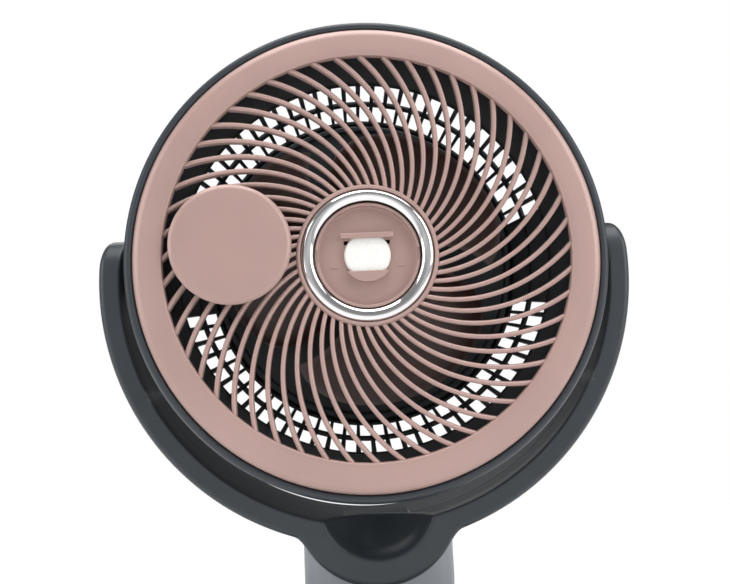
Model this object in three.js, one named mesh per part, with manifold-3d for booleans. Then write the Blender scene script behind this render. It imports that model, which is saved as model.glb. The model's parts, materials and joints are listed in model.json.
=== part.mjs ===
// Air circulator fan on a round base: a dished grille with swept ribs in a tilting head, a
// U-shaped yoke that swings on the base, and a scent cup in the hub with its cap taken off.
// Millimetres, +Z up, the fan blows towards -Y. The origin is the middle of the base, on the floor.
import * as THREE from 'three';
import { mergeVertices } from 'three/addons/utils/BufferGeometryUtils.js';
import Module from 'manifold-3d';

const wasm = await Module();
wasm.setup();

// ---------------------------------------------------------------------------------------------
// Driving dimensions
// ---------------------------------------------------------------------------------------------

// Clearances and walls
const SEAT = 0.3; // between two pieces that touch
const RUN = 0.8; // between a turning piece and the one beside it
const WALL = 2.5; // moulded casings

// Front grille: a broad ring, swept ribs that fall back to the hub, and the hub ring
const FRONT_DEPTH = 70; // tilt axis to the crest of the ring
const RING_INNER_R = 143;
const RING_WIDTH = 21;
const RING_SKIRT = 10; // depth of the ring's outer edge
const RING_WALL = 2.6;
const RIB_COUNT = 52;
const RIB_WIDTH = 3.2;
const RIB_DEPTH = 7;
const RIB_SWEEP_DEG = 37.4; // angle a rib turns through between hub and ring
const RIB_PHASE_DEG = 0.3; // where the first rib meets the ring, clockwise from the top
const RIB_STEPS = 4;
const RIB_SINK = 2.4; // rib face behind the crest, at the ring
const HUB_R = 52;
const HUB_WALL = 3.3;
const HUB_RECESS = 20; // hub face behind the crest
const HUB_DEPTH = 11;

// Chrome ring, scent cup, pad and cap
const CHROME_INNER_R = 39.5;
const CHROME_CROWN = 2.6;
const CUP_R = 36.3; // inside
const CUP_WALL = 2.1;
const CUP_SINK = 1.5; // cup rim behind the hub face
const CUP_DEPTH = 6.5;
const CUP_FLANGE_WIDTH = 8;
const PAD_R = 17;
const PAD_THICKNESS = 4;
const CLIP_HEIGHT = 4; // bar across the top of the pad
const CLIP_RISE = 12.4; // underside of the bar above the pad's centre
const CLIP_THICKNESS = 2.2;
const POCKET_DROP = 11.6; // lip of the lower pocket below the pad's centre
const NOTCH_HEIGHT = 9; // bayonet notches at the sides of the cup
const CAP_R = 42.4;
const CAP_THICKNESS = 3.4;
const CAP_SKIRT_R = 35.6;
const CAP_SKIRT = 5;
const CAP_OUT = 96.7; // where the cap lies on the ribs, to the left of the head axis
const CAP_UP = 9;

// Head casings
const BEZEL_WIDTH = 7; // dark rim outside the ring
const HOUSING_DEPTH = 62;
const HOUSING_TAPER = 8; // radius lost from the rim to the back
const LEDGE_WIDTH = 6; // housing's ledge under the ring
const DUCT_STEP = 3; // duct bore outside the ring's inner edge
const DRUM_DEPTH = 56;
const DRUM_TAPER = 21;
const SLOT_COUNT = 76; // bar pitch round the drum
const SLOT_WIDTH = 8.2;
const SLOT_ROW_GAP = 4;
const SLOT_END = 4; // plain band before the first row and after the last
const SLOT_CUT = 16; // length of a slot's cutter, through the drum's wall
const DRUM_LIP = 8; // at the drum's back edge, under the dome
const SLOT_SKIP_DEG = 14; // plain sector each side of a pivot
const PLATE_RIM_WIDTH = 5;
const DOME_DEPTH = 26;

// Motor and fan wheel
const MOTOR_R = 40;
const MOTOR_DEPTH = 42;
const MOTOR_FLANGE = 12;
const MOTOR_BACK_GAP = 5;
const SHAFT_R = 4;
const WHEEL_HUB_R = 27;
const WHEEL_R = 110;
const BLADE_COUNT = 3;
const BLADE_SPAN_DEG = 108;
const BLADE_MARGIN = 9; // wheel hub beyond a blade, at each end
const BLADE_THICKNESS = 2.2;
const NUT_R = 10;
const NUT_DEPTH = 6;

// Yoke and tilt pivots
const YOKE_GAP = 15; // rim of the head to the inside of the yoke
const YOKE_BAND = 16;
const YOKE_DROP = 7; // centre of the yoke's curve below the tilt axis
const ARM_DEPTH = 48;
const FOOT_DEPTH = 64; // yoke front to back, at its foot
const BOWL_R = 62;
const BOWL_INSET = 34; // bowl centre above the bottom of the yoke's curve
const SCOOP_R = 41;
const SCOOP_DEPTH = 46;
const PIN_R = 6;
const PIN_HEAD_R = 9;
const PIN_HEAD = 3;
const BUSH_WALL = 2.7;
const BRACKET_HALF_HEIGHT = 30;
const BRACKET_BACK = 26; // behind the tilt axis
const BRACKET_CORNER = 10;
const BOSS_R = 20;

// Neck, turntable and swing drive
const NECK_WIDTH = 112;
const NECK_SHOWN = 60; // between the turntable and the bowl
const NECK_SPARE = 30; // block above the yoke's curve, cut away to fit the yoke
const NECK_TAPER_DEG = 2.8;
const NECK_CORNER_R = 24;
const COLLAR_R = 64;
const COLLAR_HEIGHT = 6;
const SWING_SHAFT_R = 9;
const SWING_FLANGE_R = 20;
const BEARING_R = 22;
const SWING_MOTOR_R = 32;
const SWING_SHAFT_DROP = 10; // end of the swing shaft below the cover
const BEARING_FLANGE = 4;

// Base
const BASE_R = 125;
const BASE_HEIGHT = 38;
const BASE_WALL = 3;
const BASE_SHOULDER = 14;
const FOOT_HEIGHT = 5;
const FOOT_R = 11;
const FOOT_INSET = 25; // centre of a foot, in from the base's edge
const FOOT_COUNT = 4;
const WEIGHT_INNER_R = 45;
const WEIGHT_GAP = 2; // weight to the heads of the base screws
const WEIGHT_HEIGHT = 12;
const PANEL_MARGIN = 5; // flat top of the base outside the panel
const PANEL_DEPTH = 34;
const PANEL_HALF_DEG = 34;
const PANEL_THICKNESS = 1.2;
const LENS_WIDTH = 24;
const LENS_DEPTH = 9;
const LENS_INSET = 9; // centre of the lens, out from the panel's inner edge
const BUTTON_R = 4.6;
const BUTTON_INSET = 10; // centre of a button, in from the panel's outer edge
const BUTTON_STEP_DEG = 13;
const BUTTON_RISE = 1;
const BUTTON_TRAVEL = 1;
const BUTTON_FLANGE = 1.6;
const BOARD_THICKNESS = 1.6;
const INLET_R = 5.5;
const INLET_BORE_R = 3.2;
const INLET_BORE_DEPTH = 9;
const INLET_HEIGHT = 16; // centre above the floor
const INLET_SINK = 1; // face inside the cover's skin
const INLET_SHOE = 4; // depth of the block that holds the barrel
const SCREW_R = 1.7;
const SCREW_HEAD_R = 3.4;
const SCREW_HEAD = 2;
const BASE_SCREW_INSET = 8.6; // centre of a base screw, in from the cover's wall

// Facets round a turned piece
const FACETS_YOKE = 60;
const FACETS_BASE = 48;
const FACETS_LARGE = 40;
const FACETS_MEDIUM = 28;
const FACETS_SMALL = 12;

// ---------------------------------------------------------------------------------------------
// Sizes worked out from them
// ---------------------------------------------------------------------------------------------

const rad = THREE.MathUtils.degToRad;
const TURN = 2 * Math.PI;

// Head, measured from the tilt axis: y grows towards the back
const RING_OUTER_R = RING_INNER_R + RING_WIDTH;
const HEAD_R = RING_OUTER_R + BEZEL_WIDTH;
const FACE_Y = -FRONT_DEPTH;
const HUB_Y = FACE_Y + HUB_RECESS;
const HUB_BACK_Y = HUB_Y + HUB_DEPTH;
const HUB_BORE_R = HUB_R - HUB_WALL;
const CUP_OUTER_R = CUP_R + CUP_WALL;
const CUP_RIM_Y = HUB_Y + CUP_SINK;
const CUP_FLOOR_Y = CUP_RIM_Y + CUP_DEPTH;
const CUP_FLANGE_Y = HUB_BACK_Y + SEAT;
const CUP_BACK_Y = CUP_FLANGE_Y + CUP_WALL;
const HUB_LIP_R = CUP_OUTER_R + CUP_WALL;
const PAD_BACK_Y = CUP_FLOOR_Y - SEAT;
const PAD_FACE_Y = PAD_BACK_Y - PAD_THICKNESS;
const LEDGE_Y = FACE_Y + RING_SKIRT + SEAT;
const HOUSING_BACK_Y = FACE_Y + HOUSING_DEPTH;
const HOUSING_BACK_R = HEAD_R - HOUSING_TAPER;
const DUCT_R = RING_INNER_R + DUCT_STEP;
const DRUM_Y = HOUSING_BACK_Y + SEAT;
const DRUM_BACK_Y = DRUM_Y + WALL + DRUM_DEPTH;
const DRUM_FRONT_R = DUCT_R + 1;
const DRUM_BACK_R = DRUM_FRONT_R - DRUM_TAPER;
const DRUM_SEAT_Y = DRUM_BACK_Y - WALL;
const PLATE_BACK_Y = DRUM_SEAT_Y - SEAT;
const PLATE_R = DRUM_BACK_R - 2 * SEAT;
const DOME_Y = DRUM_BACK_Y + SEAT;
const DOME_BACK_Y = DOME_Y + DOME_DEPTH;
const MOTOR_BACK_Y = DOME_BACK_Y - WALL - MOTOR_BACK_GAP;
const MOTOR_Y = MOTOR_BACK_Y - MOTOR_DEPTH;
const NUT_Y = CUP_BACK_Y + SCREW_HEAD + RUN;
const WHEEL_Y = NUT_Y + NUT_DEPTH + SEAT;
const WHEEL_BACK_Y = MOTOR_Y - RUN;

// Yoke, measured from the tilt axis
const YOKE_INNER_R = HEAD_R + YOKE_GAP;
const YOKE_OUTER_R = YOKE_INNER_R + YOKE_BAND;
const ARM_INNER_X = Math.sqrt(YOKE_INNER_R ** 2 - YOKE_DROP ** 2);
const ARM_END_R = ARM_DEPTH / 2;
const BOWL_Z = -(YOKE_DROP + YOKE_OUTER_R - BOWL_INSET);
const PIVOT_OFFSET = FOOT_DEPTH / 2 - ARM_END_R; // tilt axis in front of the swing axis
const NECK_DEPTH = FOOT_DEPTH - 2 * (WALL + SEAT);
const BUSH_R = PIN_R + SEAT + BUSH_WALL;
const BOSS_X = Math.sqrt(YOKE_INNER_R ** 2 - (BOSS_R + YOKE_DROP) ** 2) - RUN;
const PIN_HEAD_X = ARM_INNER_X + 2 * WALL + 2 * SEAT;

// Heights above the floor
const COLLAR_Z = BASE_HEIGHT + RUN;
const NECK_Z = COLLAR_Z + COLLAR_HEIGHT + SEAT;
const PIVOT_HEIGHT = NECK_Z + NECK_SHOWN + BOWL_R - BOWL_Z;
const COVER_UNDER_Z = BASE_HEIGHT - BASE_WALL;
const POCKET_Z = BASE_HEIGHT - PANEL_THICKNESS - SEAT;
const PLATE_TOP_Z = FOOT_HEIGHT + BASE_WALL;
const WEIGHT_Z = PLATE_TOP_Z + SEAT;
const SWING_SHAFT_Z = COVER_UNDER_Z - SWING_SHAFT_DROP;
const BUTTON_FLANGE_Z = COVER_UNDER_Z - SEAT;
const BOARD_Z = BUTTON_FLANGE_Z - 2 * BUTTON_FLANGE - BUTTON_TRAVEL - SEAT - BOARD_THICKNESS;

// Base, from its edge inwards
const FOOT_CIRCLE_R = BASE_R - FOOT_INSET;
const BASE_SCREW_CIRCLE_R = BASE_R - BASE_WALL - BASE_SCREW_INSET;
const WEIGHT_OUTER_R = BASE_SCREW_CIRCLE_R - SCREW_HEAD_R - WEIGHT_GAP;
const PANEL_OUTER_R = BASE_R - BASE_SHOULDER - PANEL_MARGIN;
const PANEL_INNER_R = PANEL_OUTER_R - PANEL_DEPTH;
const BUTTON_CIRCLE_R = PANEL_OUTER_R - BUTTON_INSET;
const LENS_CIRCLE_R = PANEL_INNER_R + LENS_INSET;

// ---------------------------------------------------------------------------------------------
// Finishes
// ---------------------------------------------------------------------------------------------

function finish(color, roughness, metalness) {
  return new THREE.MeshStandardMaterial({ color, roughness, metalness });
}

const FINISH = {
  rose: finish(0xc6a79f, 0.38, 0.35),
  charcoal: finish(0x3c454c, 0.45, 0.0),
  graphite: finish(0x23272b, 0.55, 0.0),
  neckGrey: finish(0x8d949a, 0.42, 0.1),
  chrome: finish(0xe6e6e8, 0.08, 1.0),
  wheel: finish(0x4a332e, 0.4, 0.0),
  felt: finish(0xf2f0ec, 0.95, 0.0),
  steel: finish(0x9a9da0, 0.35, 0.9),
  iron: finish(0x4a4c4f, 0.6, 0.8),
  rubber: finish(0x1b1b1c, 0.85, 0.0),
  lens: finish(0x101215, 0.1, 0.0),
  board: finish(0x1f5a38, 0.6, 0.0),
  acetal: finish(0xd9d6cf, 0.4, 0.0),
};

// ---------------------------------------------------------------------------------------------
// Geometry helpers
// ---------------------------------------------------------------------------------------------

// A closed mesh as a solid that can be joined and cut.
function solid(geometry) {
  const bare = new THREE.BufferGeometry();
  bare.setAttribute('position', geometry.getAttribute('position'));
  bare.setIndex(geometry.index);
  const welded = mergeVertices(bare, 1e-4);
  const index = welded.index.array;
  const kept = [];
  for (let i = 0; i < index.length; i += 3) {
    const [a, b, c] = index.slice(i, i + 3);
    if (a !== b && b !== c && c !== a) kept.push(a, b, c);
  }
  const vertProperties = new Float32Array(welded.getAttribute('position').array);
  const triVerts = new Uint32Array(kept);
  return new wasm.Manifold(new wasm.Mesh({ numProp: 3, vertProperties, triVerts }));
}

function geometryOf(body) {
  const { vertProperties, triVerts } = body.getMesh();
  const geometry = new THREE.BufferGeometry();
  geometry.setAttribute('position', new THREE.BufferAttribute(vertProperties, 3));
  geometry.setIndex(new THREE.BufferAttribute(triVerts, 1));
  geometry.computeVertexNormals();
  return geometry;
}

function join(...bodies) {
  return bodies.reduce((sum, body) => sum.add(body));
}

function cut(body, ...tools) {
  return tools.reduce((rest, tool) => rest.subtract(tool), body);
}

// A closed outline of [radius, height] points turned about the Y axis. The points are listed so
// that the outside runs upwards. An outline that touches the axis starts and ends on it.
function lathe(outline, facets) {
  const points = outline.map(([radius, height]) => new THREE.Vector2(radius, height));
  if (points[0].x > 0) points.push(points[0].clone());
  return new THREE.LatheGeometry(points, facets);
}

function turned(outline, facets) {
  return solid(lathe(outline, facets));
}

// The same about an upright line through (x, y).
function turnedUp(outline, facets, x = 0, y = 0) {
  return solid(lathe(outline, facets).rotateX(Math.PI / 2).translate(x, y, 0));
}

// The same about the X axis, with heights measured outwards on one side of the head.
function turnedOut(outline, facets, side) {
  return solid(lathe(outline, facets).rotateZ(-side * Math.PI / 2));
}

function box(x0, x1, y0, y1, z0, z1) {
  const shape = new THREE.BoxGeometry(x1 - x0, y1 - y0, z1 - z0);
  return solid(shape.translate((x0 + x1) / 2, (y0 + y1) / 2, (z0 + z1) / 2));
}

function rodX(radius, x0, x1, y, z, facets = FACETS_SMALL) {
  const rod = new THREE.CylinderGeometry(radius, radius, x1 - x0, facets);
  return solid(rod.rotateZ(Math.PI / 2).translate((x0 + x1) / 2, y, z));
}

function rodY(radius, y0, y1, x, z, facets = FACETS_SMALL) {
  const rod = new THREE.CylinderGeometry(radius, radius, y1 - y0, facets);
  return solid(rod.translate(x, (y0 + y1) / 2, z));
}

function rodZ(radius, z0, z1, x, y, facets = FACETS_SMALL) {
  const rod = new THREE.CylinderGeometry(radius, radius, z1 - z0, facets);
  return solid(rod.rotateX(Math.PI / 2).translate(x, y, (z0 + z1) / 2));
}

// A flat shape drawn in (x, z), from y0 to y1.
function slabY(shape, y0, y1, curveSegments = 12) {
  const slab = new THREE.ExtrudeGeometry(shape, { depth: y1 - y0, bevelEnabled: false, curveSegments });
  return solid(slab.rotateX(Math.PI / 2).translate(0, y1, 0));
}

// A flat shape drawn in (y, z), from x0 to x1.
function slabX(shape, x0, x1, curveSegments = 12) {
  const slab = new THREE.ExtrudeGeometry(shape, { depth: x1 - x0, bevelEnabled: false, curveSegments });
  const upright = new THREE.Matrix4().makeBasis(
    new THREE.Vector3(0, 1, 0),
    new THREE.Vector3(0, 0, 1),
    new THREE.Vector3(1, 0, 0),
  );
  return solid(slab.applyMatrix4(upright).translate(x0, 0, 0));
}

// A flat shape drawn in (x, y), from z0 to z1.
function slabZ(shape, z0, z1, curveSegments = 12) {
  const slab = new THREE.ExtrudeGeometry(shape, { depth: z1 - z0, bevelEnabled: false, curveSegments });
  return solid(slab.translate(0, 0, z0));
}

// A closed skin through rings of points, all with the same even number of points. Each end is
// closed by a strip between the two halves of its ring.
function loft(rings) {
  const count = rings[0].length;
  const last = (rings.length - 1) * count;
  const index = [];
  for (let start = 0; start < last; start += count) {
    for (let i = 0; i < count; i += 1) {
      const a = start + i;
      const b = start + ((i + 1) % count);
      index.push(a, b, b + count, a, b + count, a + count);
    }
  }
  for (let i = 0; i + 1 < count / 2; i += 1) {
    const [a, b, c, d] = [i, i + 1, count - 2 - i, count - 1 - i];
    index.push(a, c, b, a, d, c);
    index.push(last + a, last + b, last + c, last + a, last + c, last + d);
  }
  const geometry = new THREE.BufferGeometry();
  const corners = rings.flat().flatMap((p) => [p.x, p.y, p.z]);
  geometry.setAttribute('position', new THREE.Float32BufferAttribute(corners, 3));
  geometry.setIndex(index);
  return solid(geometry);
}

function annularSector(innerR, outerR, middle, half) {
  const shape = new THREE.Shape();
  shape.absarc(0, 0, outerR, middle - half, middle + half, false);
  shape.absarc(0, 0, innerR, middle + half, middle - half, true);
  shape.closePath();
  return shape;
}

function onCircle(radius, angle) {
  return [radius * Math.cos(angle), radius * Math.sin(angle)];
}

const model = new THREE.Group();
const pivotGroup = new THREE.Group();
pivotGroup.position.set(0, -PIVOT_OFFSET, PIVOT_HEIGHT);
model.add(pivotGroup);

function place(parent, name, body, material) {
  const mesh = new THREE.Mesh(geometryOf(body), material);
  mesh.name = name;
  parent.add(mesh);
  return mesh;
}

// ---------------------------------------------------------------------------------------------
// Head: front grille
// ---------------------------------------------------------------------------------------------

function frontRing() {
  const inner = RING_INNER_R;
  const outer = RING_OUTER_R;
  return turned([
    [inner, FACE_Y + 5],
    [inner, FACE_Y + 1.8],
    [inner + 2.5, FACE_Y + 0.4],
    [inner + RING_WIDTH * 0.45, FACE_Y],
    [outer - 5, FACE_Y + 1],
    [outer - 1.2, FACE_Y + 3.4],
    [outer, FACE_Y + 6],
    [outer, FACE_Y + RING_SKIRT],
    [outer - RING_WALL, FACE_Y + RING_SKIRT],
    [outer - RING_WALL, FACE_Y + 6],
    [outer - 6, FACE_Y + 1 + RING_WALL],
    [inner + RING_WALL, FACE_Y + 5],
  ], FACETS_LARGE);
}

// How far back the ribs' front edges lie at a radius.
function ribFaceY(radius) {
  const along = THREE.MathUtils.clamp((radius - HUB_R) / (RING_INNER_R - HUB_R), 0, 1);
  return HUB_Y - (HUB_RECESS - RIB_SINK) * along ** 0.85;
}

function ribRing(radius, turn) {
  const slope = rad(RIB_SWEEP_DEG) / (RING_INNER_R - HUB_R);
  const clockwise = turn + slope * (RING_INNER_R - radius);
  const outward = new THREE.Vector3(Math.sin(clockwise), 0, Math.cos(clockwise));
  const around = new THREE.Vector3(Math.cos(clockwise), 0, -Math.sin(clockwise));
  const lean = Math.atan(-slope * radius);
  const side = around.clone().multiplyScalar(Math.cos(lean)).addScaledVector(outward, -Math.sin(lean));
  const centre = outward.clone().multiplyScalar(radius);
  const faceY = ribFaceY(radius);
  const corner = (across, back) => new THREE.Vector3(0, faceY + back, 0)
    .add(centre)
    .addScaledVector(side, across * RIB_WIDTH / 2);
  return [corner(-0.55, 0), corner(0.55, 0), corner(1, RIB_DEPTH), corner(-1, RIB_DEPTH)];
}

function rib(turn) {
  const from = HUB_R - HUB_WALL / 2;
  const to = RING_INNER_R + RING_WALL / 2;
  const rings = [];
  for (let k = 0; k <= RIB_STEPS; k += 1) rings.push(ribRing(from + (to - from) * k / RIB_STEPS, turn));
  return loft(rings);
}

function hubRing() {
  return turned([
    [HUB_BORE_R, HUB_Y - 1],
    [HUB_R - 0.8, HUB_Y - 1.4],
    [HUB_R, HUB_Y - 0.6],
    [HUB_R, HUB_BACK_Y],
    [HUB_LIP_R, HUB_BACK_Y],
    [HUB_LIP_R, HUB_BACK_Y - CUP_WALL],
    [HUB_BORE_R, HUB_BACK_Y - CUP_WALL],
  ], FACETS_LARGE);
}

function frontGrille() {
  const ribs = [];
  for (let k = 0; k < RIB_COUNT; k += 1) ribs.push(rib(rad(RIB_PHASE_DEG) + TURN * k / RIB_COUNT));
  return join(frontRing(), hubRing(), ...ribs);
}

// ---------------------------------------------------------------------------------------------
// Head: chrome ring, scent cup, pad and cap
// ---------------------------------------------------------------------------------------------

function chromeRing() {
  const outer = HUB_BORE_R - SEAT;
  const middle = (CHROME_INNER_R + outer) / 2;
  const back = HUB_BACK_Y - CUP_WALL - SEAT;
  return turned([
    [CHROME_INNER_R, HUB_Y],
    [CHROME_INNER_R + 1.4, HUB_Y - CHROME_CROWN * 0.75],
    [middle, HUB_Y - CHROME_CROWN],
    [outer - 1.4, HUB_Y - CHROME_CROWN * 0.75],
    [outer, HUB_Y],
    [outer, back],
    [CHROME_INNER_R, back],
  ], FACETS_MEDIUM);
}

// The part of a disc that lies below a level.
function lowerSegment(radius, level) {
  const half = Math.acos(-level / radius);
  const shape = new THREE.Shape();
  shape.absarc(0, 0, radius, -Math.PI / 2 - half, -Math.PI / 2 + half, false);
  shape.closePath();
  return shape;
}

function cupShell() {
  const floorBack = CUP_FLOOR_Y + CUP_WALL;
  return turned([
    [0, CUP_FLOOR_Y],
    [CUP_R, CUP_FLOOR_Y],
    [CUP_R, CUP_RIM_Y],
    [CUP_OUTER_R, CUP_RIM_Y],
    [CUP_OUTER_R, CUP_FLANGE_Y],
    [CUP_OUTER_R + CUP_FLANGE_WIDTH, CUP_FLANGE_Y],
    [CUP_OUTER_R + CUP_FLANGE_WIDTH, CUP_BACK_Y],
    [CUP_R, CUP_BACK_Y],
    [CUP_R, floorBack],
    [0, floorBack],
  ], FACETS_MEDIUM);
}

function clipBar() {
  const legX = PAD_R + SEAT;
  const endX = legX + CUP_WALL;
  const barBack = PAD_FACE_Y - SEAT;
  const z0 = CLIP_RISE;
  const z1 = CLIP_RISE + CLIP_HEIGHT;
  return join(
    box(-endX, endX, barBack - CLIP_THICKNESS, barBack, z0, z1),
    box(-endX, -legX, barBack - 0.1, CUP_FLOOR_Y + 0.1, z0, z1),
    box(legX, endX, barBack - 0.1, CUP_FLOOR_Y + 0.1, z0, z1),
  );
}

function padPocket() {
  const innerR = PAD_R + SEAT;
  const outerR = innerR + CUP_WALL;
  const lipBack = PAD_FACE_Y - SEAT;
  const walls = slabY(lowerSegment(outerR, -POCKET_DROP), lipBack - CLIP_THICKNESS, CUP_FLOOR_Y + 0.1);
  return cut(walls, rodY(innerR, lipBack, CUP_FLOOR_Y, 0, 0, FACETS_MEDIUM));
}

function scentCup() {
  const shell = join(cupShell(), clipBar(), padPocket());
  const half = NOTCH_HEIGHT / 2;
  const reach = CUP_OUTER_R + 1;
  const notchBack = CUP_RIM_Y + CUP_DEPTH / 2;
  const windowX = PAD_R - 3;
  const windows = [-1, 1].map((side) => {
    const x = side * windowX;
    return box(x - 3, x + 3, CUP_FLOOR_Y - 1, CUP_FLOOR_Y + CUP_WALL + 1, CLIP_RISE - 4, CLIP_RISE - 1);
  });
  return cut(
    shell,
    box(-reach, -CUP_R + 0.5, CUP_RIM_Y - 1, notchBack, -half, half),
    box(CUP_R - 0.5, reach, CUP_RIM_Y - 1, notchBack, -half, half),
    ...windows,
  );
}

function scentPad() {
  return rodY(PAD_R, PAD_FACE_Y, PAD_BACK_Y, 0, 0, FACETS_MEDIUM);
}

// The cap about its own middle: y = 0 is the end of its skirt, its face points to -y.
function scentCap() {
  const back = -CAP_SKIRT;
  const face = back - CAP_THICKNESS;
  const skirtWall = 1.8;
  const disc = turned([
    [0, face],
    [CAP_R - 2.4, face + 0.5],
    [CAP_R, face + 2],
    [CAP_R, back],
    [CAP_SKIRT_R, back],
    [CAP_SKIRT_R, 0],
    [CAP_SKIRT_R - skirtWall, 0],
    [CAP_SKIRT_R - skirtWall, back + 0.2],
    [0, back + 0.2],
  ], FACETS_MEDIUM);
  const half = NOTCH_HEIGHT / 2 - 1;
  const lug = (side) => box(...stretch(side, CAP_SKIRT_R - 0.5, CAP_SKIRT_R + 1.6), -1.8, -0.2, -half, half);
  return join(disc, lug(-1), lug(1));
}

// ---------------------------------------------------------------------------------------------
// Head: casings
// ---------------------------------------------------------------------------------------------

function headHousing() {
  const lipR = RING_OUTER_R + SEAT;
  const ledgeR = RING_OUTER_R - LEDGE_WIDTH;
  const wallFrontR = HEAD_R - WALL;
  return turned([
    [lipR, LEDGE_Y - 6],
    [lipR + 2, LEDGE_Y - 7.5],
    [HEAD_R - 1.8, LEDGE_Y - 6.5],
    [HEAD_R, LEDGE_Y - 4],
    [HEAD_R, LEDGE_Y + 4],
    [HEAD_R - 2, (LEDGE_Y + HOUSING_BACK_Y) / 2],
    [HOUSING_BACK_R, HOUSING_BACK_Y],
    [HOUSING_BACK_R - WALL, HOUSING_BACK_Y],
    [wallFrontR - 2, (LEDGE_Y + HOUSING_BACK_Y) / 2],
    [wallFrontR, LEDGE_Y + WALL],
    [ledgeR, LEDGE_Y + WALL],
    [ledgeR, LEDGE_Y],
    [lipR, LEDGE_Y],
  ], FACETS_LARGE);
}

function airDuct() {
  const front = FACE_Y + RIB_SINK + RIB_DEPTH + SEAT;
  const flangeR = RING_OUTER_R - LEDGE_WIDTH - SEAT;
  return turned([
    [DUCT_R, front],
    [DUCT_R + WALL, front],
    [DUCT_R + WALL, LEDGE_Y],
    [flangeR, LEDGE_Y],
    [flangeR, LEDGE_Y + WALL],
    [DUCT_R + WALL, LEDGE_Y + WALL],
    [DUCT_R + WALL, HOUSING_BACK_Y],
    [DUCT_R, HOUSING_BACK_Y],
  ], FACETS_LARGE);
}

// Inside radius of the rear drum at a depth.
function drumR(y) {
  const along = (y - DRUM_Y - WALL) / (DRUM_BACK_Y - DRUM_Y - WALL);
  return DRUM_FRONT_R - DRUM_TAPER * THREE.MathUtils.clamp(along, 0, 1);
}

function drumShell() {
  const flangeR = HOUSING_BACK_R - 1;
  return turned([
    [DRUM_FRONT_R, DRUM_Y],
    [flangeR, DRUM_Y],
    [flangeR, DRUM_Y + WALL],
    [DRUM_FRONT_R + WALL, DRUM_Y + WALL],
    [DRUM_BACK_R + WALL, DRUM_BACK_Y],
    [DRUM_BACK_R - DRUM_LIP, DRUM_BACK_Y],
    [DRUM_BACK_R - DRUM_LIP, DRUM_SEAT_Y],
    [drumR(DRUM_SEAT_Y), DRUM_SEAT_Y],
    [DRUM_FRONT_R, DRUM_Y + WALL],
  ], SLOT_COUNT);
}

function isNearPivot(angle) {
  return Math.abs(Math.sin(angle)) < Math.sin(rad(SLOT_SKIP_DEG));
}

function rearGrille() {
  const first = DRUM_Y + WALL + SLOT_END;
  const last = DRUM_SEAT_Y - SLOT_END;
  const rowLength = (last - first - SLOT_ROW_GAP) / 2;
  const slots = [];
  for (const start of [first, first + rowLength + SLOT_ROW_GAP]) {
    for (let k = 0; k < SLOT_COUNT; k += 1) {
      const angle = TURN * (k + 0.5) / SLOT_COUNT;
      const slot = new THREE.BoxGeometry(SLOT_CUT, rowLength, SLOT_WIDTH);
      const radius = drumR(start + rowLength / 2);
      slot.translate(radius, start + rowLength / 2, 0).rotateY(angle);
      if (!isNearPivot(angle)) slots.push(solid(slot));
    }
  }
  return cut(drumShell(), ...slots);
}

function motorPlate() {
  const front = PLATE_BACK_Y - WALL;
  const rimInnerR = PLATE_R - PLATE_RIM_WIDTH;
  const rimFrontR = drumR(front - 4) - 2 * SEAT;
  return turned([
    [MOTOR_R + SEAT, front],
    [rimInnerR, front],
    [rimInnerR + 0.8, front - 3.4],
    [rimFrontR - 1.4, front - 4],
    [PLATE_R, front - 3],
    [PLATE_R, PLATE_BACK_Y],
    [MOTOR_R + SEAT, PLATE_BACK_Y],
  ], FACETS_LARGE);
}

function motorHousing() {
  const rim = DRUM_BACK_R + WALL - 1;
  return turned([
    [0, DOME_BACK_Y - WALL],
    [rim * 0.5 - 1, DOME_BACK_Y - WALL],
    [rim * 0.78 - 1.6, DOME_Y + DOME_DEPTH * 0.86 - WALL],
    [rim * 0.94 - WALL, DOME_Y + DOME_DEPTH * 0.6 - 1],
    [rim - WALL, DOME_Y + DOME_DEPTH * 0.25],
    [rim - WALL, DOME_Y],
    [rim, DOME_Y],
    [rim, DOME_Y + DOME_DEPTH * 0.25],
    [rim * 0.94, DOME_Y + DOME_DEPTH * 0.6],
    [rim * 0.78, DOME_Y + DOME_DEPTH * 0.86],
    [rim * 0.5, DOME_BACK_Y],
    [0, DOME_BACK_Y],
  ], FACETS_MEDIUM);
}

// ---------------------------------------------------------------------------------------------
// Head: motor and fan wheel
// ---------------------------------------------------------------------------------------------

function fanMotor() {
  const flangeR = MOTOR_R + MOTOR_FLANGE;
  return turned([
    [SHAFT_R + SEAT, MOTOR_Y],
    [MOTOR_R - 3, MOTOR_Y],
    [MOTOR_R, MOTOR_Y + 3],
    [MOTOR_R, PLATE_BACK_Y + SEAT],
    [flangeR, PLATE_BACK_Y + SEAT],
    [flangeR, PLATE_BACK_Y + SEAT + WALL],
    [MOTOR_R, PLATE_BACK_Y + SEAT + WALL],
    [MOTOR_R, MOTOR_BACK_Y],
    [SHAFT_R + SEAT, MOTOR_BACK_Y],
  ], FACETS_MEDIUM);
}

function motorShaft() {
  return rodY(SHAFT_R, WHEEL_Y - NUT_DEPTH + 1, MOTOR_BACK_Y - 2, 0, 0);
}

function bladeNut() {
  const bore = rodY(SHAFT_R + SEAT, NUT_Y - 1, NUT_Y + NUT_DEPTH + 1, 0, 0);
  return cut(rodY(NUT_R, NUT_Y, NUT_Y + NUT_DEPTH, 0, 0, 6), bore);
}

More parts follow.
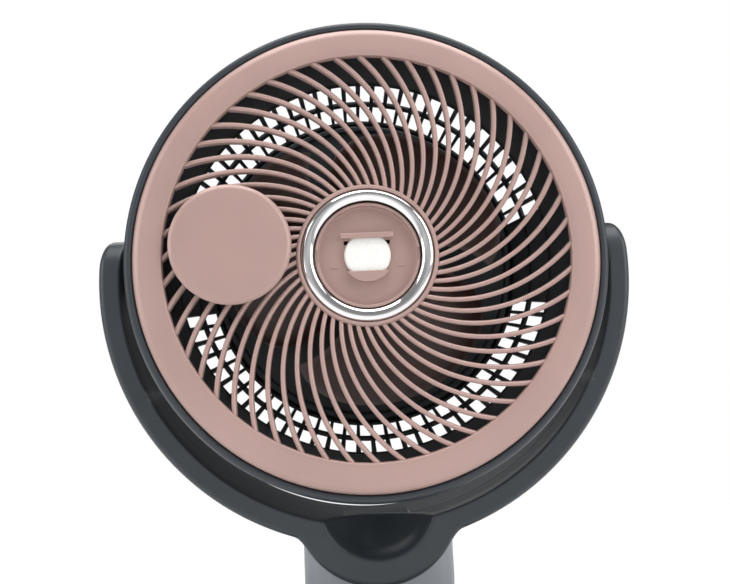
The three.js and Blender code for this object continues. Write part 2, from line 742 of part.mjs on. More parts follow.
// A point on the middle of a blade: along 0..1 from hub to tip, across 0..1 round the axis.
function bladePoint(start, along, across, side) {
  const fromMiddle = Math.abs(2 * across - 1);
  const tipR = WHEEL_R * (1 - 0.14 * fromMiddle ** 5);
  const rootR = WHEEL_HUB_R - 1;
  const radius = rootR + (tipR - rootR) * along;
  const sweep = 0.3 * along * along;
  const angle = start + rad(BLADE_SPAN_DEG) * across + sweep;
  const camber = 5 * Math.sin(Math.PI * across) * (0.4 + 0.6 * along);
  const length = WHEEL_BACK_Y - WHEEL_Y;
  const middleY = WHEEL_Y + length / 2;
  const height = length - 2 * BLADE_MARGIN;
  const y = middleY + height * (0.5 - across) - camber + side * BLADE_THICKNESS / 2;
  return new THREE.Vector3(radius * Math.cos(angle), y, -radius * Math.sin(angle));
}

function blade(start) {
  const acrossSteps = 7;
  const alongSteps = 4;
  const rings = [];
  for (let k = alongSteps; k >= 0; k -= 1) {
    const front = [];
    const back = [];
    for (let i = 0; i <= acrossSteps; i += 1) {
      const across = i / acrossSteps;
      front.push(bladePoint(start, k / alongSteps, across, 1));
      back.unshift(bladePoint(start, k / alongSteps, across, -1));
    }
    rings.push([...front, ...back]);
  }
  return loft(rings);
}

function fanBlade() {
  const hub = turned([
    [SHAFT_R + SEAT, WHEEL_Y],
    [WHEEL_HUB_R - 5, WHEEL_Y],
    [WHEEL_HUB_R, WHEEL_Y + 5],
    [WHEEL_HUB_R, WHEEL_BACK_Y],
    [SHAFT_R + SEAT, WHEEL_BACK_Y],
  ], 8 * BLADE_COUNT);
  const blades = [];
  for (let k = 0; k < BLADE_COUNT; k += 1) blades.push(blade(TURN * k / BLADE_COUNT));
  return join(hub, ...blades);
}

// ---------------------------------------------------------------------------------------------
// Tilt pivots
// ---------------------------------------------------------------------------------------------

// What the casings fill, with a clearance all round, for cutting a bracket to fit them.
function casingEnvelope() {
  const gap = SEAT;
  return turned([
    [0, LEDGE_Y],
    [HEAD_R + gap, LEDGE_Y],
    [HEAD_R + gap, LEDGE_Y + 4],
    [HEAD_R - 2 + gap, (LEDGE_Y + HOUSING_BACK_Y) / 2 + gap],
    [HOUSING_BACK_R + gap, HOUSING_BACK_Y],
    [HOUSING_BACK_R + gap, DRUM_Y + WALL + gap],
    [DRUM_FRONT_R + WALL + gap, DRUM_Y + WALL + gap],
    [DRUM_BACK_R + WALL + gap, DRUM_BACK_Y],
    [0, DRUM_BACK_Y],
  ], SLOT_COUNT);
}

function pivotBracket(side) {
  const innerX = DRUM_BACK_R;
  const outerX = HEAD_R;
  const front = DRUM_Y + WALL;
  const half = BRACKET_HALF_HEIGHT;
  const plate = new THREE.Shape();
  plate.moveTo(front, -half);
  plate.lineTo(BRACKET_BACK - BRACKET_CORNER, -half);
  plate.quadraticCurveTo(BRACKET_BACK, -half, BRACKET_BACK, -half + BRACKET_CORNER);
  plate.lineTo(BRACKET_BACK, half - BRACKET_CORNER);
  plate.quadraticCurveTo(BRACKET_BACK, half, BRACKET_BACK - BRACKET_CORNER, half);
  plate.lineTo(front, half);
  const block = slabX(plate, ...stretch(side, innerX, outerX), 3);
  const boss = rodX(BOSS_R, ...stretch(side, innerX, BOSS_X), 0, 0, FACETS_MEDIUM);
  const bore = rodX(PIN_R + SEAT, ...stretch(side, 0, YOKE_OUTER_R), 0, 0);
  return cut(join(block, boss), casingEnvelope(), bore);
}

// The lower and upper end of a stretch along X, on either side of the head.
function stretch(side, from, to) {
  return side > 0 ? [from, to] : [-to, -from];
}

function tiltPin(side) {
  const startX = HOUSING_BACK_R + SEAT;
  return turnedOut([
    [0, startX],
    [PIN_R, startX],
    [PIN_R, PIN_HEAD_X],
    [PIN_HEAD_R, PIN_HEAD_X],
    [PIN_HEAD_R, PIN_HEAD_X + PIN_HEAD],
    [0, PIN_HEAD_X + PIN_HEAD],
  ], FACETS_SMALL, side);
}

// A bush in the wall of the arm: its nose spaces the boss, its flange keeps it in the wall.
function tiltBush(side) {
  const noseX = BOSS_X + SEAT;
  const flangeX = ARM_INNER_X + WALL + SEAT;
  const outerX = PIN_HEAD_X - SEAT;
  const bore = PIN_R + SEAT;
  return turnedOut([
    [bore, noseX],
    [BUSH_R, noseX],
    [BUSH_R, flangeX],
    [BUSH_R + BUSH_WALL, flangeX],
    [BUSH_R + BUSH_WALL, outerX],
    [bore, outerX],
  ], FACETS_SMALL, side);
}

// ---------------------------------------------------------------------------------------------
// Yoke
// ---------------------------------------------------------------------------------------------

// Side view of the yoke, in (y, z), drawn in by an inset: a round arm end, a flat front, and
// a back that steps out to the foot.
function yokeSide(inset) {
  const front = -ARM_END_R + inset;
  const armBack = ARM_END_R - inset;
  const footBack = FOOT_DEPTH - ARM_END_R - inset;
  const bottom = BOWL_Z - BOWL_R - 5;
  const shape = new THREE.Shape();
  shape.absarc(0, 0, ARM_END_R - inset, 0, Math.PI, false);
  shape.lineTo(front, bottom);
  shape.lineTo(footBack, bottom);
  shape.lineTo(footBack, BOWL_Z + SCOOP_R);
  shape.quadraticCurveTo(footBack, -YOKE_INNER_R / 2, armBack, -YOKE_INNER_R / 3);
  shape.closePath();
  return shape;
}

// The yoke, or with an inset the hollow inside it.
function yokeBody(inset) {
  const front = -ARM_END_R - 1;
  const back = FOOT_DEPTH - ARM_END_R + 1;
  const side = slabX(yokeSide(inset), -YOKE_OUTER_R - 1, YOKE_OUTER_R + 1, 8);
  const band = rodY(YOKE_OUTER_R - inset, front, back, 0, -YOKE_DROP, FACETS_YOKE);
  const bowl = rodY(BOWL_R - inset, front, back, 0, BOWL_Z, FACETS_MEDIUM);
  const opening = rodY(YOKE_INNER_R + inset, front - 1, back + 1, 0, -YOKE_DROP, FACETS_YOKE);
  return cut(join(band, bowl).intersect(side), opening, scoop(inset));
}

// The dished hollow in the front of the bowl.
function scoop(inset) {
  const dish = new THREE.SphereGeometry(1, FACETS_MEDIUM, FACETS_SMALL);
  dish.scale(SCOOP_R + inset, SCOOP_DEPTH + inset, SCOOP_R + inset);
  return solid(dish.translate(0, -ARM_END_R, BOWL_Z));
}

function neckRing(z, grow) {
  const fromTop = NECK_Z + NECK_SHOWN - z;
  const half = NECK_WIDTH / 2 - Math.max(fromTop, 0) * Math.tan(rad(NECK_TAPER_DEG)) + grow;
  const depth = NECK_DEPTH / 2 + grow;
  const corner = NECK_CORNER_R + grow;
  const ring = [];
  const corners = [[1, 1, 0], [-1, 1, 1], [-1, -1, 2], [1, -1, 3]];
  for (const [sx, sy, quarter] of corners) {
    for (let k = 0; k <= 4; k += 1) {
      const angle = (Math.PI / 2) * (quarter + k / 4);
      const x = sx * (half - corner) + corner * Math.cos(angle);
      const y = sy * (depth - corner) + corner * Math.sin(angle);
      ring.push(new THREE.Vector3(x, y, z));
    }
  }
  return ring;
}

// The neck as a plain block in floor coordinates, grown all round.
function neckBlock(bottomZ, topZ, grow) {
  const rings = [neckRing(bottomZ, grow), neckRing(NECK_Z + NECK_SHOWN, grow), neckRing(topZ, grow)];
  return loft(rings);
}

function yokeHalf(isFront) {
  const wide = YOKE_OUTER_R + 5;
  const low = BOWL_Z - BOWL_R - 10;
  const high = ARM_END_R + 5;
  const far = FOOT_DEPTH;
  const keep = isFront ? box(-wide, wide, -far, 0, low, high) : box(-wide, wide, SEAT, far, low, high);
  const socket = neckBlock(NECK_Z, PIVOT_HEIGHT, SEAT).translate([0, PIVOT_OFFSET, -PIVOT_HEIGHT]);
  const reach = YOKE_OUTER_R;
  const floor = rodY(YOKE_INNER_R + WALL, -far, far, 0, -YOKE_DROP, FACETS_YOKE);
  const neckSpace = cut(socket, join(floor, scoop(WALL)));
  const bushHole = rodX(BUSH_R + SEAT, -reach + YOKE_BAND / 2, reach - YOKE_BAND / 2, 0, 0);
  return cut(yokeBody(0).intersect(keep), cut(yokeBody(WALL), neckWall()), neckSpace, bushHole);
}

// The wall that the yoke keeps round its neck socket.
function neckWall() {
  const grow = SEAT + WALL;
  return neckBlock(NECK_Z, PIVOT_HEIGHT, grow).translate([0, PIVOT_OFFSET, -PIVOT_HEIGHT]);
}

// ---------------------------------------------------------------------------------------------
// Neck, turntable and swing drive, in floor coordinates
// ---------------------------------------------------------------------------------------------

function neckColumn() {
  const topZ = PIVOT_HEIGHT - YOKE_DROP - YOKE_INNER_R + NECK_SPARE;
  const outside = neckBlock(NECK_Z, topZ, 0);
  const inside = neckBlock(NECK_Z - 1, topZ + 1, -BASE_WALL);
  const ceiling = YOKE_INNER_R + WALL + SEAT;
  const overhead = rodY(ceiling, -FOOT_DEPTH, FOOT_DEPTH, 0, PIVOT_HEIGHT - YOKE_DROP, FACETS_YOKE);
  const dish = scoop(WALL + SEAT).translate([0, -PIVOT_OFFSET, PIVOT_HEIGHT]);
  return cut(outside, inside, overhead, dish);
}

function neckCollar() {
  return turnedUp([
    [SWING_SHAFT_R + SEAT, COLLAR_Z],
    [COLLAR_R, COLLAR_Z],
    [COLLAR_R, COLLAR_Z + COLLAR_HEIGHT - 2],
    [COLLAR_R - 2, COLLAR_Z + COLLAR_HEIGHT],
    [SWING_SHAFT_R + SEAT, COLLAR_Z + COLLAR_HEIGHT],
  ], FACETS_MEDIUM);
}

function swingShaft() {
  const top = NECK_Z + BASE_WALL;
  return turnedUp([
    [0, SWING_SHAFT_Z],
    [SWING_SHAFT_R, SWING_SHAFT_Z],
    [SWING_SHAFT_R, NECK_Z],
    [SWING_FLANGE_R, NECK_Z],
    [SWING_FLANGE_R, top],
    [0, top],
  ], FACETS_SMALL);
}

function swingBearing() {
  const bore = SWING_SHAFT_R + RUN;
  const flangeR = BEARING_R + BEARING_FLANGE;
  return turnedUp([
    [bore, COVER_UNDER_Z - SEAT - BASE_WALL],
    [flangeR, COVER_UNDER_Z - SEAT - BASE_WALL],
    [flangeR, COVER_UNDER_Z - SEAT],
    [BEARING_R - SEAT, COVER_UNDER_Z - SEAT],
    [BEARING_R - SEAT, BASE_HEIGHT],
    [bore, BASE_HEIGHT],
  ], FACETS_SMALL);
}

function swingMotor() {
  return rodZ(SWING_MOTOR_R, WEIGHT_Z, SWING_SHAFT_Z - SEAT, 0, 0, FACETS_MEDIUM);
}

// ---------------------------------------------------------------------------------------------
// Base
// ---------------------------------------------------------------------------------------------

const FRONT = -Math.PI / 2;

function panelShape(grow) {
  const half = rad(PANEL_HALF_DEG) + grow / PANEL_OUTER_R;
  return annularSector(PANEL_INNER_R - grow, PANEL_OUTER_R + grow, FRONT, half);
}

function buttonPlaces() {
  return [-2, -1, 0, 1, 2].map((step) => onCircle(BUTTON_CIRCLE_R, FRONT + step * rad(BUTTON_STEP_DEG)));
}

function baseCover() {
  const top = BASE_HEIGHT;
  const foot = FOOT_HEIGHT;
  const shell = turnedUp([
    [BEARING_R, COVER_UNDER_Z],
    [BASE_R - BASE_SHOULDER - 2, COVER_UNDER_Z],
    [BASE_R - BASE_WALL - 5, top - BASE_SHOULDER * 0.5],
    [BASE_R - BASE_WALL, top - BASE_SHOULDER],
    [BASE_R - BASE_WALL, foot],
    [BASE_R, foot],
    [BASE_R, top - BASE_SHOULDER],
    [BASE_R - 4, top - BASE_SHOULDER * 0.4],
    [BASE_R - BASE_SHOULDER, top],
    [BEARING_R, top],
  ], FACETS_BASE);
  const posts = [-1, 1].map((side) => {
    const [x, y] = onCircle(PANEL_OUTER_R - 6, FRONT + side * rad(PANEL_HALF_DEG - 3));
    return rodZ(3, BOARD_Z + BOARD_THICKNESS + SEAT, COVER_UNDER_Z + 1, x, y, 8);
  });
  const holes = buttonPlaces().map(([x, y]) => rodZ(BUTTON_R + SEAT, COVER_UNDER_Z - 1, top + 1, x, y));
  const pocket = slabZ(panelShape(SEAT), POCKET_Z, top + 1, 8);
  const inletHole = rodY(INLET_R + SEAT, BASE_R - 2 * BASE_WALL, BASE_R + 1, 0, INLET_HEIGHT);
  return cut(join(shell, ...posts), pocket, inletHole, ...holes);
}

function basePlate() {
  const rim = BASE_R - BASE_WALL - SEAT;
  const holes = screwPlaces().map(([x, y]) => {
    return rodZ(SCREW_R + SEAT, FOOT_HEIGHT - 1, PLATE_TOP_Z + 1, x, y, 8);
  });
  return cut(rodZ(rim, FOOT_HEIGHT, PLATE_TOP_Z, 0, 0, FACETS_BASE), ...holes);
}

function baseWeight() {
  const top = WEIGHT_Z + WEIGHT_HEIGHT;
  return turnedUp([
    [WEIGHT_INNER_R, WEIGHT_Z],
    [WEIGHT_OUTER_R, WEIGHT_Z],
    [WEIGHT_OUTER_R, top],
    [WEIGHT_INNER_R, top],
  ], FACETS_MEDIUM);
}

// Places spread evenly round the base, one for each foot, the first a share of a step on.
function placesRound(radius, share) {
  return Array.from({ length: FOOT_COUNT }, (_, k) => onCircle(radius, TURN * (k + share) / FOOT_COUNT));
}

function footPlaces() {
  return placesRound(FOOT_CIRCLE_R, 0.5);
}

function baseFoot([x, y]) {
  const top = FOOT_HEIGHT - SEAT;
  return turnedUp([[0, 0], [FOOT_R - 1.5, 0], [FOOT_R, 1.5], [FOOT_R, top], [0, top]], FACETS_SMALL, x, y);
}

function screwPlaces() {
  return placesRound(BASE_SCREW_CIRCLE_R, 0.25);
}

function baseScrew([x, y]) {
  const under = FOOT_HEIGHT - SEAT;
  const end = PLATE_TOP_Z + 4;
  return turnedUp([
    [0, under - SCREW_HEAD],
    [SCREW_HEAD_R, under - SCREW_HEAD],
    [SCREW_HEAD_R, under],
    [SCREW_R, under],
    [SCREW_R, end],
    [0, end],
  ], 8, x, y);
}

function controlPanel() {
  const z0 = POCKET_Z + SEAT;
  const half = LENS_WIDTH / 2 + SEAT;
  const y = -LENS_CIRCLE_R;
  const deep = LENS_DEPTH / 2 + SEAT;
  const lensHole = box(-half, half, y - deep, y + deep, z0 - 1, BASE_HEIGHT + 1);
  const holes = buttonPlaces().map(([bx, by]) => rodZ(BUTTON_R + SEAT, z0 - 1, BASE_HEIGHT + 1, bx, by));
  return cut(slabZ(panelShape(0), z0, BASE_HEIGHT, 8), lensHole, ...holes);
}

function displayLens() {
  const y = -LENS_CIRCLE_R;
  const z0 = POCKET_Z + SEAT;
  return box(-LENS_WIDTH / 2, LENS_WIDTH / 2, y - LENS_DEPTH / 2, y + LENS_DEPTH / 2, z0, BASE_HEIGHT);
}

// A button: a nub over the board, a flange under the cover, and the cap above it.
function button([x, y]) {
  const nubZ = BOARD_Z + BOARD_THICKNESS + BUTTON_TRAVEL + SEAT;
  const flangeZ = BUTTON_FLANGE_Z - BUTTON_FLANGE;
  return turnedUp([
    [0, nubZ],
    [BUTTON_R / 2, nubZ],
    [BUTTON_R / 2, flangeZ],
    [BUTTON_R + BUTTON_FLANGE, flangeZ],
    [BUTTON_R + BUTTON_FLANGE, BUTTON_FLANGE_Z],
    [BUTTON_R, BUTTON_FLANGE_Z],
    [BUTTON_R, BASE_HEIGHT + BUTTON_RISE],
    [0, BASE_HEIGHT + BUTTON_RISE],
  ], FACETS_SMALL, x, y);
}

function controlBoard() {
  const shape = annularSector(PANEL_INNER_R, PANEL_OUTER_R - 2, FRONT, rad(PANEL_HALF_DEG));
  return slabZ(shape, BOARD_Z, BOARD_Z + BOARD_THICKNESS, 8);
}

function dcInlet() {
  const face = BASE_R - INLET_SINK;
  const barrel = rodY(INLET_R, face - INLET_BORE_DEPTH - INLET_SHOE, face, 0, INLET_HEIGHT);
  const back = face - INLET_BORE_DEPTH - INLET_SHOE / 2;
  const [low, high] = [INLET_HEIGHT - INLET_R - 1, INLET_HEIGHT + INLET_R];
  const shoe = box(-INLET_R, INLET_R, back - INLET_SHOE, back, low, high);
  return cut(join(barrel, shoe), rodY(INLET_BORE_R, face - INLET_BORE_DEPTH, face + 1, 0, INLET_HEIGHT));
}

// ---------------------------------------------------------------------------------------------
// Small screws in the head
// ---------------------------------------------------------------------------------------------

function cupScrew(angle) {
  const radius = CUP_OUTER_R + CUP_FLANGE_WIDTH / 2;
  const x = radius * Math.sin(angle);
  const z = radius * Math.cos(angle);
  return rodY(SCREW_HEAD_R * 0.8, CUP_BACK_Y + SEAT, CUP_BACK_Y + SEAT + SCREW_HEAD * 0.7, x, z, 10);
}

function domeScrew(angle) {
  const radius = (DRUM_BACK_R + WALL) * 0.3;
  const x = radius * Math.cos(angle);
  const z = radius * Math.sin(angle);
  return rodY(SCREW_HEAD_R, DOME_BACK_Y + SEAT, DOME_BACK_Y + SEAT + SCREW_HEAD * 0.6, x, z, 10);
}

// ---------------------------------------------------------------------------------------------
// Assembly
// ---------------------------------------------------------------------------------------------

function assembleHead() {
  place(pivotGroup, 'front_grille', frontGrille(), FINISH.rose);
  place(pivotGroup, 'chrome_ring', chromeRing(), FINISH.chrome);
  place(pivotGroup, 'scent_cup', scentCup(), FINISH.rose);
  place(pivotGroup, 'scent_pad', scentPad(), FINISH.felt);
  place(pivotGroup, 'head_housing', headHousing(), FINISH.charcoal);
  place(pivotGroup, 'air_duct', airDuct(), FINISH.graphite);
  place(pivotGroup, 'rear_grille', rearGrille(), FINISH.graphite);
  place(pivotGroup, 'motor_plate', motorPlate(), FINISH.charcoal);
  place(pivotGroup, 'motor_housing', motorHousing(), FINISH.charcoal);
  place(pivotGroup, 'fan_motor', fanMotor(), FINISH.steel);
  place(pivotGroup, 'motor_shaft', motorShaft(), FINISH.steel);
  place(pivotGroup, 'fan_blade', fanBlade(), FINISH.wheel);
  place(pivotGroup, 'blade_nut', bladeNut(), FINISH.graphite);
  for (let k = 0; k < 3; k += 1) {
    place(pivotGroup, `cup_screw_${k + 1}`, cupScrew(TURN * k / 3), FINISH.steel);
  }
  for (let k = 0; k < 4; k += 1) {
    place(pivotGroup, `dome_screw_${k + 1}`, domeScrew(TURN * (k + 0.5) / 4), FINISH.steel);
  }
}

// The cap lies on the ribs, leaning as they do, with its skirt just clear of them.
function assembleCap() {
  const seat = new THREE.Group();
  const radius = Math.hypot(CAP_OUT, CAP_UP);
  const near = radius - CAP_SKIRT_R;
  const far = radius + CAP_SKIRT_R;
  const lean = Math.atan2(ribFaceY(near) - ribFaceY(far), far - near);
  const sideways = ribFaceY(Math.hypot(radius, CAP_SKIRT_R));
  seat.position.set(-CAP_OUT, Math.min(sideways, ribFaceY(radius)) - 3 * SEAT, CAP_UP);
  seat.rotation.z = lean;
  pivotGroup.add(seat);
  place(seat, 'scent_cap', scentCap(), FINISH.rose);
}

function assembleYoke() {
  for (const [name, side] of [['left', -1], ['right', 1]]) {
    place(pivotGroup, `pivot_bracket_${name}`, pivotBracket(side), FINISH.graphite);
    place(pivotGroup, `tilt_pin_${name}`, tiltPin(side), FINISH.steel);
    place(pivotGroup, `tilt_bush_${name}`, tiltBush(side), FINISH.acetal);
  }
  place(pivotGroup, 'yoke_front', yokeHalf(true), FINISH.charcoal);
  place(pivotGroup, 'yoke_back', yokeHalf(false), FINISH.charcoal);
  place(model, 'neck_column', neckColumn(), FINISH.neckGrey);
  place(model, 'neck_collar', neckCollar(), FINISH.charcoal);
  place(model, 'swing_shaft', swingShaft(), FINISH.steel);
}

function assembleBase() {
  place(model, 'base_cover', baseCover(), FINISH.charcoal);
  place(model, 'base_plate', basePlate(), FINISH.graphite);
  place(model, 'base_weight', baseWeight(), FINISH.iron);
  footPlaces().forEach((spot, k) => place(model, `foot_${k + 1}`, baseFoot(spot), FINISH.rubber));
  screwPlaces().forEach((spot, k) => place(model, `base_screw_${k + 1}`, baseScrew(spot), FINISH.steel));
  place(model, 'control_panel', controlPanel(), FINISH.lens);
  place(model, 'display_lens', displayLens(), FINISH.lens);
  place(model, 'control_board', controlBoard(), FINISH.board);
  const names = ['button_timer', 'button_slower', 'button_power', 'button_faster', 'button_swing'];
  buttonPlaces().forEach((spot, k) => place(model, names[k], button(spot), FINISH.charcoal));
  place(model, 'dc_inlet', dcInlet(), FINISH.graphite);
  place(model, 'swing_motor', swingMotor(), FINISH.steel);
  place(model, 'swing_bearing', swingBearing(), FINISH.acetal);
}

assembleHead();
assembleCap();
assembleYoke();
assembleBase();

export default model;
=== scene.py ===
"""Looks of an air circulator fan on a round base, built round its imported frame.

Sizes are written in millimetres and turned into metres when a mesh is made. Pieces of the head are
drawn about the head's axis, from the tilt axis, with depth growing towards the back.
"""

import json
import logging
import math
from dataclasses import dataclass
from enum import Enum
from typing import Callable, Iterable, Optional, Sequence, Union

import bmesh
import bpy
from mathutils import Matrix, Vector


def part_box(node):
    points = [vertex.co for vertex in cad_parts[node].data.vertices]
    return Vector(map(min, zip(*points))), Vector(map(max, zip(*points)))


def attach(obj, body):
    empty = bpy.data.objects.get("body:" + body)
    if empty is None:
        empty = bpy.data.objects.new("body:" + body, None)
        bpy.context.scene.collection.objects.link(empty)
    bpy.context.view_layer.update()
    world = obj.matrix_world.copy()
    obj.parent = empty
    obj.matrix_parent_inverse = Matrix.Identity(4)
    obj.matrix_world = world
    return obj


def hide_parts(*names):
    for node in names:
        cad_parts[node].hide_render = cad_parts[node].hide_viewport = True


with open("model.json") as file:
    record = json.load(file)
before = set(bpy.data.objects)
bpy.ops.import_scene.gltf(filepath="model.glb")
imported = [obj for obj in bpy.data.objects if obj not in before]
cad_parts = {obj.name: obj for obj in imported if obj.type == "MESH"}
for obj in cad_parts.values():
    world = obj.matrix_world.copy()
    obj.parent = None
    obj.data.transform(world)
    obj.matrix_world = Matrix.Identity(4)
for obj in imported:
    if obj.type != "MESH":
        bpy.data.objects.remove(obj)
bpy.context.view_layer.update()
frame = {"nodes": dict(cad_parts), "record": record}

log = logging.getLogger("fan")

MM = 0.001
PIVOT_Y = -8.0
PIVOT_Z = 342.1
HEAD = Matrix.Translation((0, PIVOT_Y * MM, PIVOT_Z * MM))
# From a frame whose Z is the way the air blows and whose Y is up, to the head's frame.
FACING = Matrix(((1, 0, 0, 0), (0, 0, -1, 0), (0, 1, 0, 0), (0, 0, 0, 1)))
# From a frame whose Z is the way out of the back and whose Y is up, to the head's frame. This one and
# the next mirror what goes through them, so its faces point inwards.
BACKWARDS = Matrix(((1, 0, 0, 0), (0, 0, 1, 0), (0, 1, 0, 0), (0, 0, 0, 1)))
UNDERNEATH = Matrix.Scale(-1, 4, (0, 0, 1))
STILL = Matrix.Identity(4)

Colour = tuple[float, float, float]
Flat = tuple[float, float]
Spot = tuple[float, float, float]
Corner = Union[Flat, Spot]


class Axis(Enum):
    """The line that a turned piece is turned about."""

    HEAD = "head"
    UPRIGHT = "upright"


class Ends(Enum):
    """How the first and last ring of a skin are closed."""

    OPEN = "open"
    FLAT = "flat"
    STRIPS = "strips"


# ---------------------------------------------------------------------------------------------
# Node graphs
# ---------------------------------------------------------------------------------------------


class Value:
    """A number socket that takes part in Python expressions."""

    def __init__(self, graph: "Graph", socket: bpy.types.NodeSocket) -> None:
        """Wraps a socket.

        Args:
            graph: The graph that the socket is in.
            socket: An output socket.
        """
        self.graph = graph
        self.socket = socket

    def _math(self, operation: str, first: object, second: object) -> "Value":
        """Adds a Math node for two numbers and returns its result."""
        return self.graph.value("ShaderNodeMath", {"operation": operation}, {0: first, 1: second})

    def __add__(self, other: object) -> "Value":
        """Sum."""
        return self._math("ADD", self, other)

    def __radd__(self, other: object) -> "Value":
        """Sum with a plain number first."""
        return self._math("ADD", other, self)

    def __sub__(self, other: object) -> "Value":
        """Difference."""
        return self._math("SUBTRACT", self, other)

    def __rsub__(self, other: object) -> "Value":
        """Difference from a plain number."""
        return self._math("SUBTRACT", other, self)

    def __mul__(self, other: object) -> "Value":
        """Product."""
        return self._math("MULTIPLY", self, other)

    def __rmul__(self, other: object) -> "Value":
        """Product with a plain number first."""
        return self._math("MULTIPLY", other, self)

    def __truediv__(self, other: object) -> "Value":
        """Quotient."""
        return self._math("DIVIDE", self, other)

    def __pow__(self, other: object) -> "Value":
        """Power."""
        return self._math("POWER", self, other)

    def __lt__(self, other: object) -> "Value":
        """1 where this is less than the other."""
        return self._math("LESS_THAN", self, other)

    def __gt__(self, other: object) -> "Value":
        """1 where this is greater than the other."""
        return self._math("GREATER_THAN", self, other)

    def absolute(self) -> "Value":
        """Size without sign."""
        return self._math("ABSOLUTE", self, 0.0)

    def sine(self) -> "Value":
        """Sine of an angle in radians."""
        return self._math("SINE", self, 0.0)

    def cosine(self) -> "Value":
        """Cosine of an angle in radians."""
        return self._math("COSINE", self, 0.0)

    def ease(self, low: float, high: float) -> "Value":
        """Runs smoothly from 0 to 1.

        Args:
            low: Where it starts to rise.
            high: Where it has reached 1.

        Returns:
            The eased value.
        """
        settings = {"interpolation_type": "SMOOTHSTEP"}
        inputs = {"Value": self, "From Min": low, "From Max": high}
        return self.graph.value("ShaderNodeMapRange", settings, inputs)


class Graph:
    """A node tree, filled one node at a time."""

    def __init__(self, tree: bpy.types.NodeTree) -> None:
        """Takes over a tree.

        Args:
            tree: A shader or geometry node tree.
        """
        self.tree = tree

    def node(
        self,
        kind: str,
        settings: Optional[dict[str, object]] = None,
        inputs: Optional[dict[Union[str, int], object]] = None,
    ) -> bpy.types.Node:
        """Adds one node.

        Args:
            kind: The node's type name.
            settings: Properties to set first. "stops" holds a ramp's (place, colour) pairs.
            inputs: A value, socket or Value for each socket name or number.

        Returns:
            The new node.
        """
        made = self.tree.nodes.new(kind)
        for name, setting in (settings or {}).items():
            if name == "stops":
                self._set_stops(made, setting)
            else:
                setattr(made, name, setting)
        for key, given in (inputs or {}).items():
            given = given.socket if isinstance(given, Value) else given
            if isinstance(given, bpy.types.NodeSocket):
                self.tree.links.new(given, made.inputs[key])
            else:
                made.inputs[key].default_value = given
        return made

    def _set_stops(self, made: bpy.types.Node, stops: Sequence[tuple[float, Sequence[float]]]) -> None:
        """Gives a ramp its stops.

        Args:
            made: The ramp's node.
            stops: A place and a colour for each stop.
        """
        elements = made.color_ramp.elements
        while len(elements) < len(stops):
            elements.new(1.0)
        for element, (place, colour) in zip(elements, stops):
            element.position = place
            element.color = (*colour, 1.0)

    def value(
        self,
        kind: str,
        settings: Optional[dict[str, object]] = None,
        inputs: Optional[dict[Union[str, int], object]] = None,
        output: Union[str, int] = 0,
    ) -> Value:
        """Adds a node and returns one of its outputs for use in expressions."""
        return Value(self, self.node(kind, settings, inputs).outputs[output])


# ---------------------------------------------------------------------------------------------
# Finishes
# ---------------------------------------------------------------------------------------------


def linear(red: int, green: int, blue: int) -> Colour:
    """Turns a colour as seen on a screen into light values.

    Args:
        red: Red, 0 to 255.
        green: Green, 0 to 255.
        blue: Blue, 0 to 255.

    Returns:
        The three light values, 0 to 1.
    """

    def one(level: int) -> float:
        """One channel."""
        share = level / 255
        return share / 12.92 if share <= 0.04045 else ((share + 0.055) / 1.055) ** 2.4

    return one(red), one(green), one(blue)


